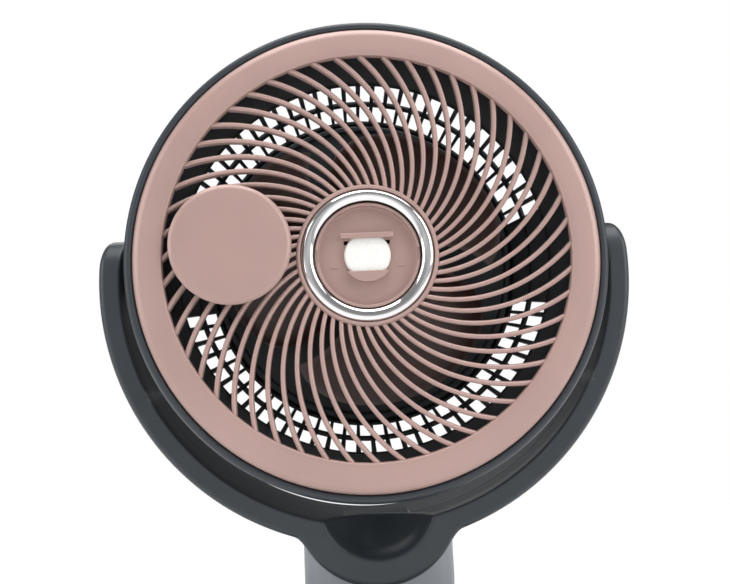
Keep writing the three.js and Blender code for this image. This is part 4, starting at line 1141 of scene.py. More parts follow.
class ScentCup(Assembly):
    """The plated ring, the cup with its clip and pocket, the felt pad and the loose cap."""

    sizes = CupSizes()

    def build(self) -> None:
        """Makes the pieces of the cup."""
        self.chrome()
        self.cup()
        self.holder()
        self.pad()
        self.cap()

    def chrome(self) -> None:
        """Makes the plated ring, with a crown and a groove inside it."""
        s = self.sizes
        face = s.chrome_face
        ring = Part("plated_ring").turned(
            [
                (s.chrome_inner, face + s.chrome_deep, 0.2),
                (s.chrome_inner, face - 0.4, 0.5),
                (s.chrome_inner + 1.6, face - s.chrome_crown * 0.62, 1.2),
                ((s.chrome_inner + s.chrome_outer) / 2 + 0.6, face - s.chrome_crown, 3),
                (s.chrome_outer - 1.2, face - s.chrome_crown * 0.6, 1.2),
                (s.chrome_outer, face + 0.2, 0.6),
                (s.chrome_outer, face + s.chrome_deep, 0.2),
            ],
            192,
        )
        self.fit(ring.object(), Finish.CHROME, "chrome_ring")

    def cup(self) -> None:
        """Makes the cup's wall, floor and flange, and cuts the bayonet notches."""
        s = self.sizes
        outer = s.radius + s.wall
        shell = (
            Part("scent_cup_shell")
            .turned(
                [
                    (0, s.floor),
                    (s.radius, s.floor, 0.9),
                    (s.radius, s.rim, 0.5),
                    (outer, s.rim, 0.7),
                    (outer, s.flange_front),
                    (s.flange_outer, s.flange_front),
                    (s.flange_outer, s.back),
                    (s.radius, s.back),
                    (s.radius, s.floor + s.wall),
                    (0, s.floor + s.wall),
                ],
                160,
            )
            .object()
        )
        half = s.notch / 2
        cutters = []
        for side in (-1, 1):
            low, high = sorted((side * (s.radius - 0.6), side * (outer + 1)))
            notch = Part("notch").block((low, s.rim - 1, -half), (high, s.rim + s.notch_depth, half))
            cutters.append(notch.object())
        for side in (-1, 1):
            low, high = side * s.window_x - s.window_half, side * s.window_x + s.window_half
            behind = s.floor + s.wall + 1
            window = Part("window").block((low, s.floor - 1, s.window_low), (high, behind, s.window_high))
            cutters.append(window.object())
        self.fit(carved(shell, cutters), Finish.ROSE, "scent_cup")

    def holder(self) -> None:
        """Makes the clip bar, the lower pocket and the small ribs beside the pad."""
        s = self.sizes
        bar_back = s.pad_face - s.play
        bar_face = bar_back - s.clip_thick
        seat = s.floor + s.sink
        leg = s.clip_half - s.wall
        clip = Part("pad_clip").block(
            (-s.clip_half, bar_face, s.clip_low), (s.clip_half, bar_back, s.clip_high), 0.6
        )
        for side in (-1, 1):
            low, high = sorted((side * leg, side * s.clip_half))
            clip.block((low, bar_back - 0.4, s.clip_low + s.play), (high, seat, s.clip_high - s.play))
            low, high = sorted((side * s.tick_start, side * s.tick_end))
            clip.block((low, s.floor - 0.9, s.tick_low), (high, seat, s.tick_high))
        self.fit(clip.object(), Finish.ROSE)
        hollow_radius = s.pad + s.play
        outer = hollow_radius + s.wall
        steps = 40
        half = math.acos(-s.pocket_lip / outer)
        outline = []
        for k in range(steps + 1):
            angle = -math.pi / 2 - half + 2 * half * k / steps
            outline.append((outer * math.cos(angle), outer * math.sin(angle)))
        pocket = Part("pad_pocket").slab(outline, bar_face, seat, at_head, 0.5).object()
        bed = s.floor - 0.1
        space = [(0, bar_back), (hollow_radius, bar_back), (hollow_radius, bed), (0, bed)]
        self.fit(carved(pocket, [Part("hollow").turned(space, 64).object()]), Finish.ROSE)

    def pad(self) -> None:
        """Makes the felt pad, crowned between its rounded edges."""
        s = self.sizes
        disc = Part("felt_pad").turned(
            [
                (0, s.pad_back),
                (s.pad - 0.6, s.pad_back, 0.6),
                (s.pad, s.pad_back - 1.2, 0.8),
                (s.pad, s.pad_face + 1.4, 1.0),
                (s.pad - 1.1, s.pad_face + 0.35, 0.9),
                (s.pad * 0.55, s.pad_face + 0.05, 3),
                (0, s.pad_face),
            ],
            96,
        )
        made = self.fit(disc.object(), Finish.FELT, "scent_pad", body="pad")

    def cap(self) -> None:
        """Makes the loose cap where the frame has it, leaning as the ribs do."""
        s = self.sizes
        back = s.cap_back
        face = back - s.cap_thick
        inside = s.cap_skirt - s.cap_skirt_wall
        disc = Part("loose_cap").turned(
            [
                (0, face),
                (s.cap * 0.6, face + 0.06, 6),
                (s.cap - 2.6, face + 0.45, 2.2),
                (s.cap, face + 2.2, 1.7),
                (s.cap, back, 0.4),
                (s.cap_skirt, back),
                (s.cap_skirt, 0, 0.3),
                (inside, 0, 0.3),
                (inside, back + s.sink),
                (0, back + s.sink),
            ],
            192,
        )
        for side in (-1, 1):
            a, b = sorted((side * (s.cap_skirt - 0.5), side * (s.cap_skirt + 1.6)))
            disc.block((a, -1.8, -3.5), (b, -0.2, 3.5), 0.2)
        made = self.fit(disc.object(self.cap_seat()), Finish.ROSE, "scent_cap", body="cap")
        spots = [vert.co for vert in made.data.vertices]
        ends = [func(axis) for func in (min, max) for axis in zip(*spots)]
        node_ends = [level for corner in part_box("scent_cap") for level in corner]
        drift = max(abs(a - b) for a, b in zip(ends, node_ends))
        log.info("the cap is within %.2f mm of its node", drift / MM)

    def cap_seat(self) -> Matrix:
        """Works out where the cap lies on the ribs.

        Returns:
            The cap's place and lean, in metres.
        """
        s = self.sizes
        radius = math.hypot(s.cap_x, s.cap_z)
        near, far = radius - s.cap_skirt, radius + s.cap_skirt
        lean = math.atan2(rib_face(near) - rib_face(far), far - near)
        sideways = rib_face(math.hypot(radius, s.cap_skirt))
        depth = min(sideways, rib_face(radius)) - s.cap_sink
        spot = Matrix.Translation((s.cap_x * MM, depth * MM, s.cap_z * MM))
        return HEAD @ spot @ Matrix.Rotation(lean, 4, "Z")


def rib_face(radius: float) -> float:
    """Finds how far back the ribs' front edges lie.

    Args:
        radius: Distance from the head's axis.

    Returns:
        The depth there, in millimetres.
    """
    s = GrilleSizes()
    along = min(1.0, max(0.0, (radius - s.hub) / (s.inner - s.hub)))
    return s.hub_face - (s.hub_face - s.face - s.rib_sink) * along**s.rib_rise


@dataclass(frozen=True)
class CasingSizes:
    """Sizes of the head's casings, in millimetres."""

    rim: float = 171.0
    lip: float = 164.3
    ledge: float = -59.7
    back: float = -8.0
    back_radius: float = 163.0
    wall: float = 2.5
    duct: float = 146.0
    duct_front: float = -60.3
    duct_flange: float = 157.7
    inset: float = 6.3
    drum_front: float = -7.7
    drum_back: float = 50.8
    drum_wide: float = 147.0
    drum_narrow: float = 126.0
    slot_count: int = 76
    slot_width: float = 8.2
    row_gap: float = 4.0
    slot_end: float = 4.0
    skip_deg: float = 14.21
    plate: float = 125.4
    plate_back: float = 48.0
    motor: float = 40.0
    dome_front: float = 51.1
    dome_back: float = 77.1


class Casings(Assembly):
    """The head's rim and housing, its duct, the slotted drum, and the motor's plate and cover."""

    sizes = CasingSizes()

    def build(self) -> None:
        """Makes the casings from front to back."""
        s = self.sizes
        middle = (s.ledge + s.back) / 2
        housing = Part("head_casing").turned(
            [
                (s.lip, s.ledge - 5.6, 0.5),
                (s.lip + 1.3, s.ledge - 7.3, 0.9),
                (s.rim - 2.6, s.ledge - 7.3, 1.6),
                (s.rim - 0.5, s.ledge - 4.6, 2.0),
                (s.rim, s.ledge + 3, 3.0),
                (s.rim - 2, middle, 12),
                (s.back_radius + 0.6, s.back - 3, 2.4),
                (s.back_radius - 1.6, s.back, 1.2),
                (s.back_radius - 4, s.back),
                (s.rim - s.wall - 2, middle),
                (s.rim - s.wall, s.ledge + s.wall),
                (s.lip - s.inset, s.ledge + s.wall),
                (s.lip - s.inset, s.ledge),
                (s.lip, s.ledge),
            ],
            256,
        )
        self.fit(housing.object(), Finish.CHARCOAL, "head_housing")
        duct = Part("duct_wall").turned(
            [
                (s.duct, s.duct_front, 0.4),
                (s.duct + s.wall, s.duct_front, 0.4),
                (s.duct + s.wall, s.ledge),
                (s.duct_flange, s.ledge),
                (s.duct_flange, s.ledge + s.wall),
                (s.duct + s.wall, s.ledge + s.wall),
                (s.duct + s.wall, s.back),
                (s.duct, s.back),
            ],
            192,
        )
        self.fit(duct.object(), Finish.GRAPHITE, "air_duct")
        self.drum()
        self.motor_cover()

    def drum_radius(self, depth: float) -> float:
        """Finds the inside radius of the drum.

        Args:
            depth: How far back.

        Returns:
            The radius there.
        """
        s = self.sizes
        start = s.drum_front + s.wall
        along = min(1.0, max(0.0, (depth - start) / (s.drum_back - start)))
        return s.drum_wide - (s.drum_wide - s.drum_narrow) * along

    def band(self, part: Part, start: float, end: float, rounding: float = 0.5) -> None:
        """Adds a plain band of the drum's wall.

        Args:
            part: What it is added to.
            start: Depth of its front.
            end: Depth of its back.
            rounding: Size of its rounded edges.
        """
        w = self.sizes.wall
        inner = [self.drum_radius(start), self.drum_radius(end)]
        part.turned(
            [
                (inner[0], start, rounding),
                (inner[0] + w, start, rounding),
                (inner[1] + w, end, rounding),
                (inner[1], end, rounding),
            ],
            192,
            steps=2,
        )

    def drum(self) -> None:
        """Makes the slotted drum: its flange, three bands, the plain sides and the bars."""
        s = self.sizes
        seat = s.drum_back - s.wall
        first = s.drum_front + s.wall + s.slot_end
        last = seat - s.slot_end
        row = (last - first - s.row_gap) / 2
        shell = Part("drum_bands").turned(
            [
                (s.drum_wide, s.drum_front),
                (s.back_radius - 1, s.drum_front, 0.4),
                (s.back_radius - 1, s.drum_front + s.wall, 0.8),
                (s.drum_wide + s.wall, s.drum_front + s.wall, 1.2),
                (self.drum_radius(first) + s.wall, first, 0.5),
                (self.drum_radius(first), first, 0.5),
            ],
            192,
        )
        self.band(shell, first + row, first + row + s.row_gap)
        shell.turned(
            [
                (self.drum_radius(last), last, 0.5),
                (self.drum_radius(last) + s.wall, last, 0.5),
                (s.drum_narrow + s.wall, s.drum_back, 1.0),
                (s.drum_narrow - 8, s.drum_back),
                (s.drum_narrow - 8, seat),
                (self.drum_radius(seat), seat),
            ],
            192,
        )
        for side in (0.0, math.pi):
            self.plain_side(shell, side, first, last)
        self.fit(shell.object(), Finish.GRAPHITE, "rear_grille")
        self.fit(self.bars(first, last), Finish.GRAPHITE)

    def plain_side(self, part: Part, facing: float, start: float, end: float) -> None:
        """Adds the plain stretch of the drum beside a pivot.

        Args:
            part: What it is added to.
            facing: The angle of its middle.
            start: Depth of the slots' front.
            end: Depth of the slots' back.
        """
        s = self.sizes
        steps = 14
        half = math.radians(s.skip_deg)
        low, high = start - 0.6, end + 0.6
        rings = []
        for k in range(steps + 1):
            angle = facing - half + 2 * half * k / steps
            c, d = math.cos(angle), math.sin(angle)
            section = [
                (self.drum_radius(low) + 0.1, low),
                (self.drum_radius(low) + s.wall - 0.1, low),
                (self.drum_radius(high) + s.wall - 0.1, high),
                (self.drum_radius(high) + 0.1, high),
            ]
            rings.append([(r * c, y, r * d) for r, y in section])
        part.skin(rings, Ends.FLAT)

    def bars(self, start: float, end: float) -> bpy.types.Object:
        """Makes the drum's bars, leaving out those that the plain sides cover.

        Args:
            start: Depth of the slots' front.
            end: Depth of the slots' back.

        Returns:
            All bars as one object.
        """
        s = self.sizes
        numbers = ["Front radius", "Back radius", "Front", "Back", "Wide", "Narrow", "Wall", "Skip"]
        tree = Repeat("drum_bars", numbers, ["Count"])
        begin = tree.point(tree.given("Front radius"), 0.0, tree.given("Front"))
        finish = tree.point(tree.given("Back radius"), 0.0, tree.given("Back"))
        line = tree.node("GeometryNodeCurvePrimitiveLine", {}, {"Start": begin, "End": finish})
        fine = tree.node("GeometryNodeResampleCurve", {}, {"Curve": line.outputs[0], "Count": 6})
        share = tree.value("GeometryNodeSplineParameter")
        radius = tree.given("Wide") + (tree.given("Narrow") - tree.given("Wide")) * share
        tapered = tree.node("GeometryNodeSetCurveRadius", {}, {"Curve": fine.outputs[0], "Radius": radius})
        section = tree.rounded_bar(tree.given("Wall"), 1.0, 0.22, 2)
        bar = tree.swept(tapered.outputs[0], section)
        if "Scale" in bar.node.inputs:
            tree.tree.links.new(radius.socket, bar.node.inputs["Scale"])
        turn = tree.index() * math.tau / tree.given("Count")
        keep = turn.sine().absolute() > tree.given("Skip")
        tree.close([tree.round_axis(bar, tree.given("Count"), turn, keep)])
        pitch = math.tau / s.slot_count
        front, back = self.drum_radius(start) + s.wall / 2, self.drum_radius(end) + s.wall / 2
        wide = front * pitch - s.slot_width
        narrow = back * pitch - s.slot_width
        sizes = {
            "Front radius": front,
            "Back radius": back,
            "Front": -(start - 0.5),
            "Back": -(end + 0.5),
            "Wide": wide,
            "Narrow": narrow,
            "Wall": 1.0,
            "Skip": math.sin(math.radians(s.skip_deg - 0.5)),
            "Count": s.slot_count,
            "Finish": self.finishes.get(Finish.GRAPHITE),
        }
        return tree.grow("drum_bars", sizes, HEAD @ FACING)

    def motor_cover(self) -> None:
        """Makes the plate behind the wheel, with its raised rim, and the cover behind it."""
        s = self.sizes
        front = s.plate_back - s.wall
        inner = s.plate - 5
        plate = Part("motor_plate_dressed").turned(
            [
                (s.motor + 0.3, front),
                (inner * 0.62, front, 2),
                (inner, front, 0.8),
                (inner + 0.8, front - 3.4, 0.9),
                (s.plate - 0.2, front - 3.8, 1.2),
                (s.plate, front - 2, 0.8),
                (s.plate, s.plate_back),
                (s.motor + 0.3, s.plate_back),
            ],
            192,
        )
        self.fit(plate.object(), Finish.CHARCOAL, "motor_plate")
        rim = s.drum_narrow + s.wall - 1
        depth = s.dome_back - s.dome_front
        cover = Part("motor_cover").turned(
            [
                (0, s.dome_back - s.wall),
                (rim * 0.5, s.dome_back - s.wall, 10),
                (rim * 0.78 - 1.6, s.dome_front + depth * 0.86 - s.wall, 10),
                (rim * 0.94 - s.wall, s.dome_front + depth * 0.6 - 1, 6),
                (rim - s.wall, s.dome_front + depth * 0.25, 4),
                (rim - s.wall, s.dome_front),
                (rim, s.dome_front, 0.5),
                (rim, s.dome_front + depth * 0.25, 5),
                (rim * 0.94, s.dome_front + depth * 0.6, 8),
                (rim * 0.78, s.dome_front + depth * 0.86, 12),
                (rim * 0.5, s.dome_back, 14),
                (0, s.dome_back),
            ],
            192,
            steps=8,
        )
        self.fit(cover.object(), Finish.CHARCOAL, "motor_housing")


@dataclass(frozen=True)
class WheelSizes:
    """Sizes of the fan wheel, in millimetres and degrees."""

    front: float = -27.5
    back: float = 26.8
    hub: float = 27.0
    tip: float = 110.0
    blades: int = 3
    span_deg: float = 108.0
    margin: float = 9.0
    thickness: float = 2.2
    twist: float = 0.3
    camber: float = 5.0
    tip_rounding: float = 0.14
    shaft: float = 4.3
    cells_across: int = 40
    cells_along: int = 20


class Wheel(Assembly):
    """The fan wheel: its hub and blades."""

    body = "rotor"
    sizes = WheelSizes()

    def point(self, start: float, along: float, across: float, side: float) -> Spot:
        """A point of a blade's skin.

        Args:
            start: The angle that the blade starts at.
            along: 0 at the hub to 1 at the tip.
            across: 0 to 1 round the axis.
            side: 1 for the back face and -1 for the front.

        Returns:
            The point, in millimetres.
        """
        s = self.sizes
        from_middle = abs(2 * across - 1)
        tip = s.tip * (1 - s.tip_rounding * from_middle**5)
        root = s.hub - 1
        radius = root + (tip - root) * along
        angle = start + math.radians(s.span_deg) * across + s.twist * along * along
        camber = s.camber * math.sin(math.pi * across) * (0.4 + 0.6 * along)
        length = s.back - s.front
        height = length - 2 * s.margin
        thin = min(1.0, (1 - from_middle) * 9 + 0.25) * min(1.0, (1 - along) * 12 + 0.3)
        depth = s.front + length / 2 + height * (0.5 - across) - camber + side * thin * s.thickness / 2
        return radius * math.cos(angle), depth, -radius * math.sin(angle)

    def build(self) -> None:
        """Makes the hub and its blades as one piece."""
        s = self.sizes
        wheel = Part("fan_wheel").turned(
            [
                (s.shaft, s.front),
                (s.hub - 6, s.front, 1.2),
                (s.hub - 0.6, s.front + 4.4, 3.5),
                (s.hub, s.back, 0.6),
                (s.shaft, s.back),
            ],
            96,
        )
        across, along = s.cells_across, s.cells_along
        for k in range(s.blades):
            start = math.tau * k / s.blades
            rings = []
            for row in range(along + 1):
                front = [self.point(start, row / along, i / across, 1) for i in range(across + 1)]
                back = [self.point(start, row / along, i / across, -1) for i in range(across, -1, -1)]
                rings.append(front + back)
            wheel.skin(rings, Ends.STRIPS)
        self.fit(wheel.object(sharp_deg=50.0), Finish.WHEEL, "fan_blade")


@dataclass(frozen=True)
class YokeSizes:
    """Sizes of the yoke, measured from the tilt axis, in millimetres."""

    inner: float = 186.0
    outer: float = 202.0
    drop: float = 7.0
    arm: float = 24.0
    foot_back: float = 40.0
    step_low: float = -134.0
    step_high: float = -62.0
    step_middle: float = -93.0
    bowl: float = 62.0
    bowl_z: float = -175.0
    scoop: float = 44.0
    scoop_depth: float = 42.0
    scoop_lip: float = 0.16
    outer_rounding: float = 4.6
    inner_rounding: float = 1.6
    bowl_rounding: float = 7.0
    seam: float = 0.45
    seam_half: float = 0.35
    seam_least: float = 6.0
    bowl_deg: float = 22.0
    band_deg: float = 62.0
    bowl_cuts: int = 76
    band_cuts: int = 31
    arm_cuts: int = 24
    tip_cuts: int = 17
    face_points: int = 36
    inner_points: int = 4
    outer_points: int = 6


@dataclass(frozen=True)
class NeckSizes:
    """Sizes of the neck and its collar, measured from the floor, in millimetres and degrees."""

    half_width: float = 56.0
    half_depth: float = 29.2
    corner: float = 24.0
    foot: float = 45.1
    straight: float = 60.0
    waist: float = 105.1
    taper_deg: float = 2.8
    under_band: float = 5.0
    under_scoop: float = 4.0
    bore: float = 9.3
    collar: float = 64.0
    collar_low: float = 38.8
    collar_high: float = 44.8
    rows: int = 16
    corner_steps: int = 10
    side_steps: int = 24


@dataclass
class Station:
    """One cut across the yoke: which way it lies from the centre, or how far up the arm."""

    angle: Optional[float] = None
    height: Optional[float] = None
    tip: Optional[float] = None
    side: int = 1


class Yoke(Assembly):
    """The U-shaped yoke with its scooped bowl, and the neck and collar below it."""

    body = "yoke"
    sizes = YokeSizes()
    neck_sizes = NeckSizes()

    def back(self, z: float) -> float:
        """Finds the depth of the yoke's back, which steps along a smooth curve.

        Args:
            z: Height above the tilt axis.

        Returns:
            The depth there.
        """
        s = self.sizes
        if z >= s.step_high:
            return s.arm
        if z <= s.step_low:
            return s.foot_back
        low, high = 0.0, 1.0
        for _ in range(30):
            t = (low + high) / 2
            at = s.step_low * (1 - t) ** 2 + s.step_middle * 2 * t * (1 - t) + s.step_high * t * t
            low, high = (t, high) if at < z else (low, t)
        return s.foot_back * (1 - t * t) + s.arm * t * t

    def rim(self, angle: float) -> float:
        """Finds the outer radius of the band and bowl together, with a soft corner between them.

        Args:
            angle: Angle from straight down.

        Returns:
            The radius there.
        """
        s = self.sizes
        away = -s.bowl_z - s.drop
        inside = s.bowl**2 - (away * math.sin(angle)) ** 2
        if inside <= 0 or math.cos(angle) <= 0:
            return s.outer
        bowl = away * math.cos(angle) + math.sqrt(inside)
        soft = s.bowl_rounding
        near = max(soft - abs(bowl - s.outer), 0.0) / soft
        return max(bowl, s.outer) + near * near * soft / 4

    def dish(self, x: float, z: float) -> float:
        """Finds how deep the scoop is at a point of the front face.

        Args:
            x: Distance to the right.
            z: Height above the tilt axis.

        Returns:
            The depth of the scoop there.
        """
        s = self.sizes
        reach = math.hypot(x, z - s.bowl_z) / s.scoop
        if reach >= 1:
            return 0.0
        lip = min((1 - reach) / s.scoop_lip, 1.0)
        return s.scoop_depth * (1 - reach * reach) * lip * (2 - lip) * (0.5 + 0.5 * lip)

    def spot(self, at: Station, radius: float, inset: float, is_front: bool) -> Spot:
        """A point of the yoke's front or back skin.

        Args:
            at: The cut that the point is in.
            radius: Distance from the yoke's centre.
            inset: Distance in from the skin's plain side view.
            is_front: Whether the point is in front.

        Returns:
            The point, in millimetres from the tilt axis.
        """
        s = self.sizes
        if at.tip is not None:
            z = (s.arm - inset) * math.sin(at.tip)
            y = (s.arm - inset) * math.cos(at.tip)
            x = math.sqrt(radius**2 - (z + s.drop) ** 2)
            return at.side * x, -y if is_front else y, z
        if at.height is not None:
            z = at.height
            x = at.side * math.sqrt(radius**2 - (z + s.drop) ** 2)
        else:
            x = radius * math.sin(at.angle)
            z = -s.drop - radius * math.cos(at.angle)
        y = -s.arm + inset + self.dish(x, z) if is_front else self.back(z) - inset
        return x, y, z

    def section(self, at: Station) -> list[Spot]:
        """Makes the closed outline of one cut.

        Args:
            at: The cut.

        Returns:
            Its points, in millimetres from the tilt axis.
        """
        s = self.sizes
        outer = self.rim(at.angle) if at.angle is not None else s.outer
        inner, small, big = s.inner, s.inner_rounding, s.outer_rounding
        across: list[Flat] = []
        for k in range(s.inner_points):
            turn = math.pi / 2 * k / (s.inner_points - 1)
            across.append((inner + small * (1 - math.cos(turn)), small * (1 - math.sin(turn))))
        for k in range(1, s.face_points):
            across.append((inner + small + (outer - big - inner - small) * k / s.face_points, 0.0))
        for k in range(s.outer_points):
            turn = math.pi / 2 * k / (s.outer_points - 1)
            across.append((outer - big + big * math.sin(turn), big * (1 - math.cos(turn))))
        front = [self.spot(at, radius, inset, True) for radius, inset in across]
        back = [self.spot(at, radius, inset, False) for radius, inset in reversed(across)]
        outside = self.wall(front[-1], back[0])
        inside = list(reversed(self.wall(front[0], back[-1])))
        return front + outside + back + inside

    def wall(self, front: Spot, back: Spot) -> list[Spot]:
        """Makes a side wall between the front and back skins, with the seam of the two halves.

        Args:
            front: Where the front skin ends.
            back: Where the back skin starts.

        Returns:
            The wall's points, without its ends.
        """
        s = self.sizes
        start, end = Vector(front), Vector(back)
        length = max(end.y - start.y, 1e-6)
        middle = min(max(-start.y / length, 0.0), 1.0)
        narrow = min(s.seam_half / length, middle * 0.45, (1 - middle) * 0.45)
        shares = [middle * 0.5, middle - narrow, middle, middle + narrow, middle + (1 - middle) * 0.5]
        spots = []
        centre = Vector((0, 0, -s.drop))
        mean = (s.inner + s.outer) / 2
        for i, share in enumerate(shares):
            at = start.lerp(end, share)
            if i == 2 and length > s.seam_least:
                flat = Vector((at.x, 0, at.z)) - centre
                inwards = 1 if flat.length < mean else -1
                at += flat.normalized() * s.seam * inwards
            spots.append(tuple(at))
        return spots

    def stations(self) -> list[Station]:
        """Lists the cuts.

        Returns:
            The cuts, from the tip of the left arm round to the tip of the right one.
        """
        s = self.sizes
        bowl, band = math.radians(s.bowl_deg), math.radians(s.band_deg)
        right = [Station(angle=bowl * k / s.bowl_cuts) for k in range(s.bowl_cuts)]
        for k in range(s.band_cuts):
            right.append(Station(angle=bowl + (band - bowl) * k / (s.band_cuts - 1)))
        start = -s.drop - (s.inner + s.outer) / 2 * math.cos(band) + 2.0
        for k in range(s.arm_cuts):
            right.append(Station(height=start * (1 - k / s.arm_cuts)))
        for k in range(s.tip_cuts):
            right.append(Station(tip=math.pi / 2 * k / (s.tip_cuts - 1)))
        left = []
        for at in reversed(right[1:]):
            angle = None if at.angle is None else -at.angle
            left.append(Station(angle, at.height, at.tip, -1))
        return left + right

    def build(self) -> None:
        """Makes the yoke, its neck and the collar that turns on the base."""
        n = self.neck_sizes
        shell = Part("yoke_shell").skin([self.section(at) for at in self.stations()])
        self.fit(shell.object(sharp_deg=42.0), Finish.CHARCOAL, "yoke_front", "yoke_back")
        rings = [self.neck_ring(n.foot + n.straight * k / n.rows) for k in range(n.rows + 1)]
        rings.append(self.neck_ring())
        column = Part("neck_dressed").skin(rings, Ends.STRIPS)
        self.fit(column.object(STILL), Finish.NECK, "neck_column")
        collar = Part("turning_collar").turned(
            [
                (n.bore, n.collar_low),
                (n.collar, n.collar_low, 0.5),
                (n.collar, n.collar_low + 4.4, 1.2),
                (n.collar - 2, n.collar_high, 1.2),
                (n.bore, n.collar_high),
            ],
            160,
            axis=Axis.UPRIGHT,
        )
        self.fit(collar.object(STILL), Finish.CHARCOAL, "neck_collar")

    def neck_ring(self, height: Optional[float] = None) -> list[Spot]:
        """Makes one cut across the neck, a rounded rectangle.

        Args:
            height: Its height above the floor, or None for the hidden top, which isn't flat.

        Returns:
            Its points.
        """
        n = self.neck_sizes
        middle = self.neck_top(0.0) if height is None else height
        narrower = max(n.waist - middle, 0) * math.tan(math.radians(n.taper_deg))
        straight = n.half_width - narrower - n.corner
        spots = []
        for quarter, (sx, sy) in enumerate(((1, 1), (-1, 1), (-1, -1), (1, -1))):
            for k in range(n.corner_steps + 1):
                turn = math.pi / 2 * (quarter + k / n.corner_steps)
                x = sx * straight + n.corner * math.cos(turn)
                spots.append((x, sy * (n.half_depth - n.corner) + n.corner * math.sin(turn)))
            if quarter in (0, 2):
                for k in range(1, n.side_steps):
                    spots.append((sx * straight * (1 - 2 * k / n.side_steps), sy * n.half_depth))
        return [(x, y, self.neck_top(x) if height is None else height) for x, y in spots]

    def neck_top(self, x: float) -> float:
        """Finds the height of the neck's top, hidden in the bowl and clear of the scoop.

        Args:
            x: Distance to the right.

        Returns:
            The height above the floor there.
        """
        s, n = self.sizes, self.neck_sizes
        arc = PIVOT_Z - s.drop - math.sqrt((s.inner + n.under_band) ** 2 - x * x)
        reach = s.scoop + n.under_scoop
        if abs(x) >= reach:
            return arc
        return min(arc, PIVOT_Z + s.bowl_z - math.sqrt(reach**2 - x * x))


@dataclass(frozen=True)
class BaseSizes:
    """Sizes of the base, in millimetres and degrees."""

    radius: float = 125.0
    height: float = 38.0
    wall: float = 3.0
    foot: float = 5.0
    shoulder: float = 14.0
    bearing: float = 22.0
    panel_inner: float = 72.0
    panel_outer: float = 106.0
    panel_half_deg: float = 34.0
    panel_thick: float = 1.2
    gap: float = 0.3
    button: float = 4.6
    button_rise: float = 1.0
    button_foot: float = 31.5
    button_stop: float = 33.1
    button_stop_thick: float = 1.6
    button_circle: float = 96.0
    button_step_deg: float = 13.0
    buttons: tuple[str, ...] = ("timer", "slower", "power", "faster", "swing")
    lens: Flat = (24.0, 9.0)
    lens_circle: float = 81.0
    inlet: float = 5.5
    inlet_height: float = 16.0
    inlet_bore: float = 3.2
    inlet_deep: float = 9.0
    inlet_long: float = 13.0
    inlet_sunk: float = 1.0
    foot_circle: float = 100.0
    foot_radius: float = 11.0
    foot_high: float = 4.7


